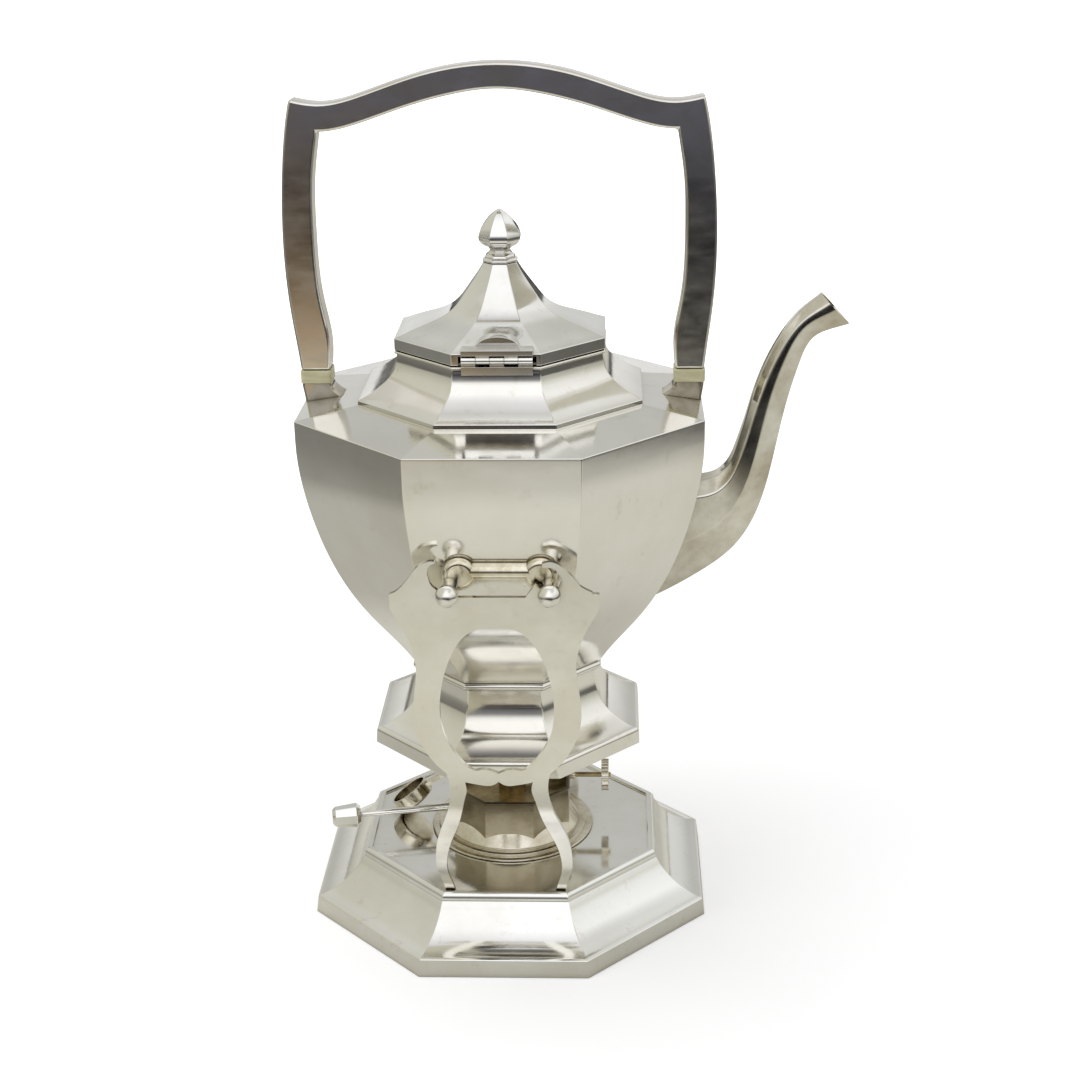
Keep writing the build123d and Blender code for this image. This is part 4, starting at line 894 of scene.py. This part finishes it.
def paleFloor():
    half = floorLook["size"] / 2
    mesh = bpy.data.meshes.new("floor")
    corners = [(-half, -half, 0), (half, -half, 0), (half, half, 0), (-half, half, 0)]
    mesh.from_pydata(corners, [], [(0, 1, 2, 3)])
    floor = bpy.data.objects.new("floor", mesh)
    material, tree, shader = newMaterial("paleFloor")
    path = treeNode(tree, "ShaderNodeLightPath").outputs
    place = treeNode(tree, "ShaderNodeTexCoord").outputs["Object"]
    point = treeNode(tree, "ShaderNodeSeparateXYZ", {"Vector": place}).outputs
    nearer = numberRange(tree, point["X"], 0.0, floorLook["rightNearer"], *floorLook["rightOver"])
    further = numberRange(tree, point["X"], floorLook["leftFurther"], 0.0, *floorLook["leftOver"])
    shifted = reckon(tree, "ADD", reckon(tree, "SUBTRACT", point["Y"], nearer), further)
    ahead = numberRange(tree, shifted, 0.0, 1.0, *floorLook["aheadOver"])
    before = colourRamp(tree, ahead, floorLook["ahead"])
    deep = reckon(tree, "MAXIMUM", reckon(tree, "MULTIPLY", point["Y"], -1.0), 0.0)
    across = numberRange(tree, point["X"], 0.0, 1.0, -floorLook["farReach"], floorLook["farReach"])
    farStart = numberRange(tree, deep, 0.0, 1.0, *floorLook["farOver"])
    farEnd = numberRange(tree, deep, 1.0, 0.0, *floorLook["farGoneOver"])
    farShare = reckon(tree, "MULTIPLY", farStart, farEnd)
    before = mixColour(tree, farShare, before, colourRamp(tree, across, floorLook["far"]), "MULTIPLY")
    reach = floorLook["sideReach"]
    toLeft = numberRange(tree, point["X"], 0.0, 1.0, -reach, 0.0)
    toRight = numberRange(tree, point["X"], 1.0, 0.0, 0.0, reach)
    left = colourRamp(tree, toLeft, tintedStops(floorLook["left"], floorLook["warm"]))
    right = colourRamp(tree, toRight, tintedStops(floorLook["right"], floorLook["warm"]))
    beside = mixColour(tree, reckon(tree, "GREATER_THAN", point["X"], 0.0), left, right)
    wide = reckon(tree, "ABSOLUTE", point["X"])     # which of the two reaches further decides
    span = reckon(tree, "ADD", reckon(tree, "ADD", wide, deep), floorLook["leastSpan"])
    sideShare = numberRange(tree, reckon(tree, "DIVIDE", wide, span), 0.0, 1.0, *floorLook["sideOver"])
    mirrored = mixColour(tree, sideShare, before, beside)
    plain = (floorLook["colour"],) * 3 + (1.0,)
    tree.links.new(mixColour(tree, path["Is Glossy Ray"], plain, mirrored), shader.inputs["Base Color"])
    shader.inputs["Roughness"].default_value = 1.0
    shader.inputs["Specular IOR Level"].default_value = 0.0
    shader.inputs["Emission Color"].default_value = (1, 1, 1, 1)
    distance = treeNode(tree, "ShaderNodeVectorMath", {0: place}, operation="LENGTH").outputs["Value"]
    lift = numberRange(tree, distance, *floorLook["lift"], *floorLook["liftOver"])
    tree.links.new(reckon(tree, "MULTIPLY", path["Is Camera Ray"], lift), shader.inputs["Emission Strength"])
    mesh.materials.append(material)
    scene.collection.objects.link(floor)


def softSurround():
    world = bpy.data.worlds.new("softSurround")
    world.use_nodes = True
    scene.world = world
    world.cycles.sampling_method = "NONE"   # the ray kinds see different skies, so only the lamps are sampled
    tree = world.node_tree
    path = treeNode(tree, "ShaderNodeLightPath").outputs
    sky = treeNode(tree, "ShaderNodeTexCoord").outputs["Generated"]
    way = treeNode(tree, "ShaderNodeSeparateXYZ", {"Vector": sky}).outputs
    tilt = reckon(tree, "ARCTAN2", way["Z"], reckon(tree, "MULTIPLY", way["Y"], -1.0))
    frontToBack = colourRamp(tree, reckon(tree, "DIVIDE", tilt, pi), surround["front"])
    climb = reckon(tree, "DIVIDE", reckon(tree, "ARCSINE", way["Z"]), pi / 2)
    left = colourRamp(tree, climb, surround["left"])
    right = colourRamp(tree, climb, surround["right"])
    sides = mixColour(tree, reckon(tree, "GREATER_THAN", way["X"], 0.0), left, right)
    flatSquare = reckon(tree, "SUBTRACT", 1.0, reckon(tree, "MULTIPLY", way["Z"], way["Z"]))
    flatWay = reckon(tree, "SQRT", reckon(tree, "MAXIMUM", flatSquare, surround["leastFlat"]))
    aside = reckon(tree, "DIVIDE", reckon(tree, "ABSOLUTE", way["X"]), flatWay)
    share = numberRange(tree, aside, 0.0, 1.0, *surround["sideOver"])
    belowTop = numberRange(tree, way["Z"], 1.0, 0.0, *surround["topOver"])      # the sides fade out overhead
    mirrored = mixColour(tree, reckon(tree, "MULTIPLY", share, belowTop), frontToBack, sides)
    plain = (surround["plain"],) * 3 + (1.0,)
    lit = mixColour(tree, path["Is Glossy Ray"], plain, mirrored)
    shown = mixColour(tree, path["Is Camera Ray"], lit, (1.0, 1.0, 1.0, 1.0))
    tree.links.new(shown, tree.nodes["Background"].inputs["Color"])


def softLamp(name, settings):
    lampData = bpy.data.lights.new(name, "AREA")
    lampData.shape = "RECTANGLE"
    lampData.size, lampData.size_y = settings["size"]
    lampData.energy = settings["power"]
    lamp = bpy.data.objects.new(name, lampData)
    lamp.location = settings["place"]
    aim = Vector(lampAim) - Vector(settings["place"])
    lamp.rotation_euler = aim.to_track_quat("-Z", "Y").to_euler()
    lamp.visible_glossy = False
    scene.collection.objects.link(lamp)


paleFloor()
softSurround()
for lampName, settings in lamps.items():
    softLamp(lampName, settings)
print("studio ready")
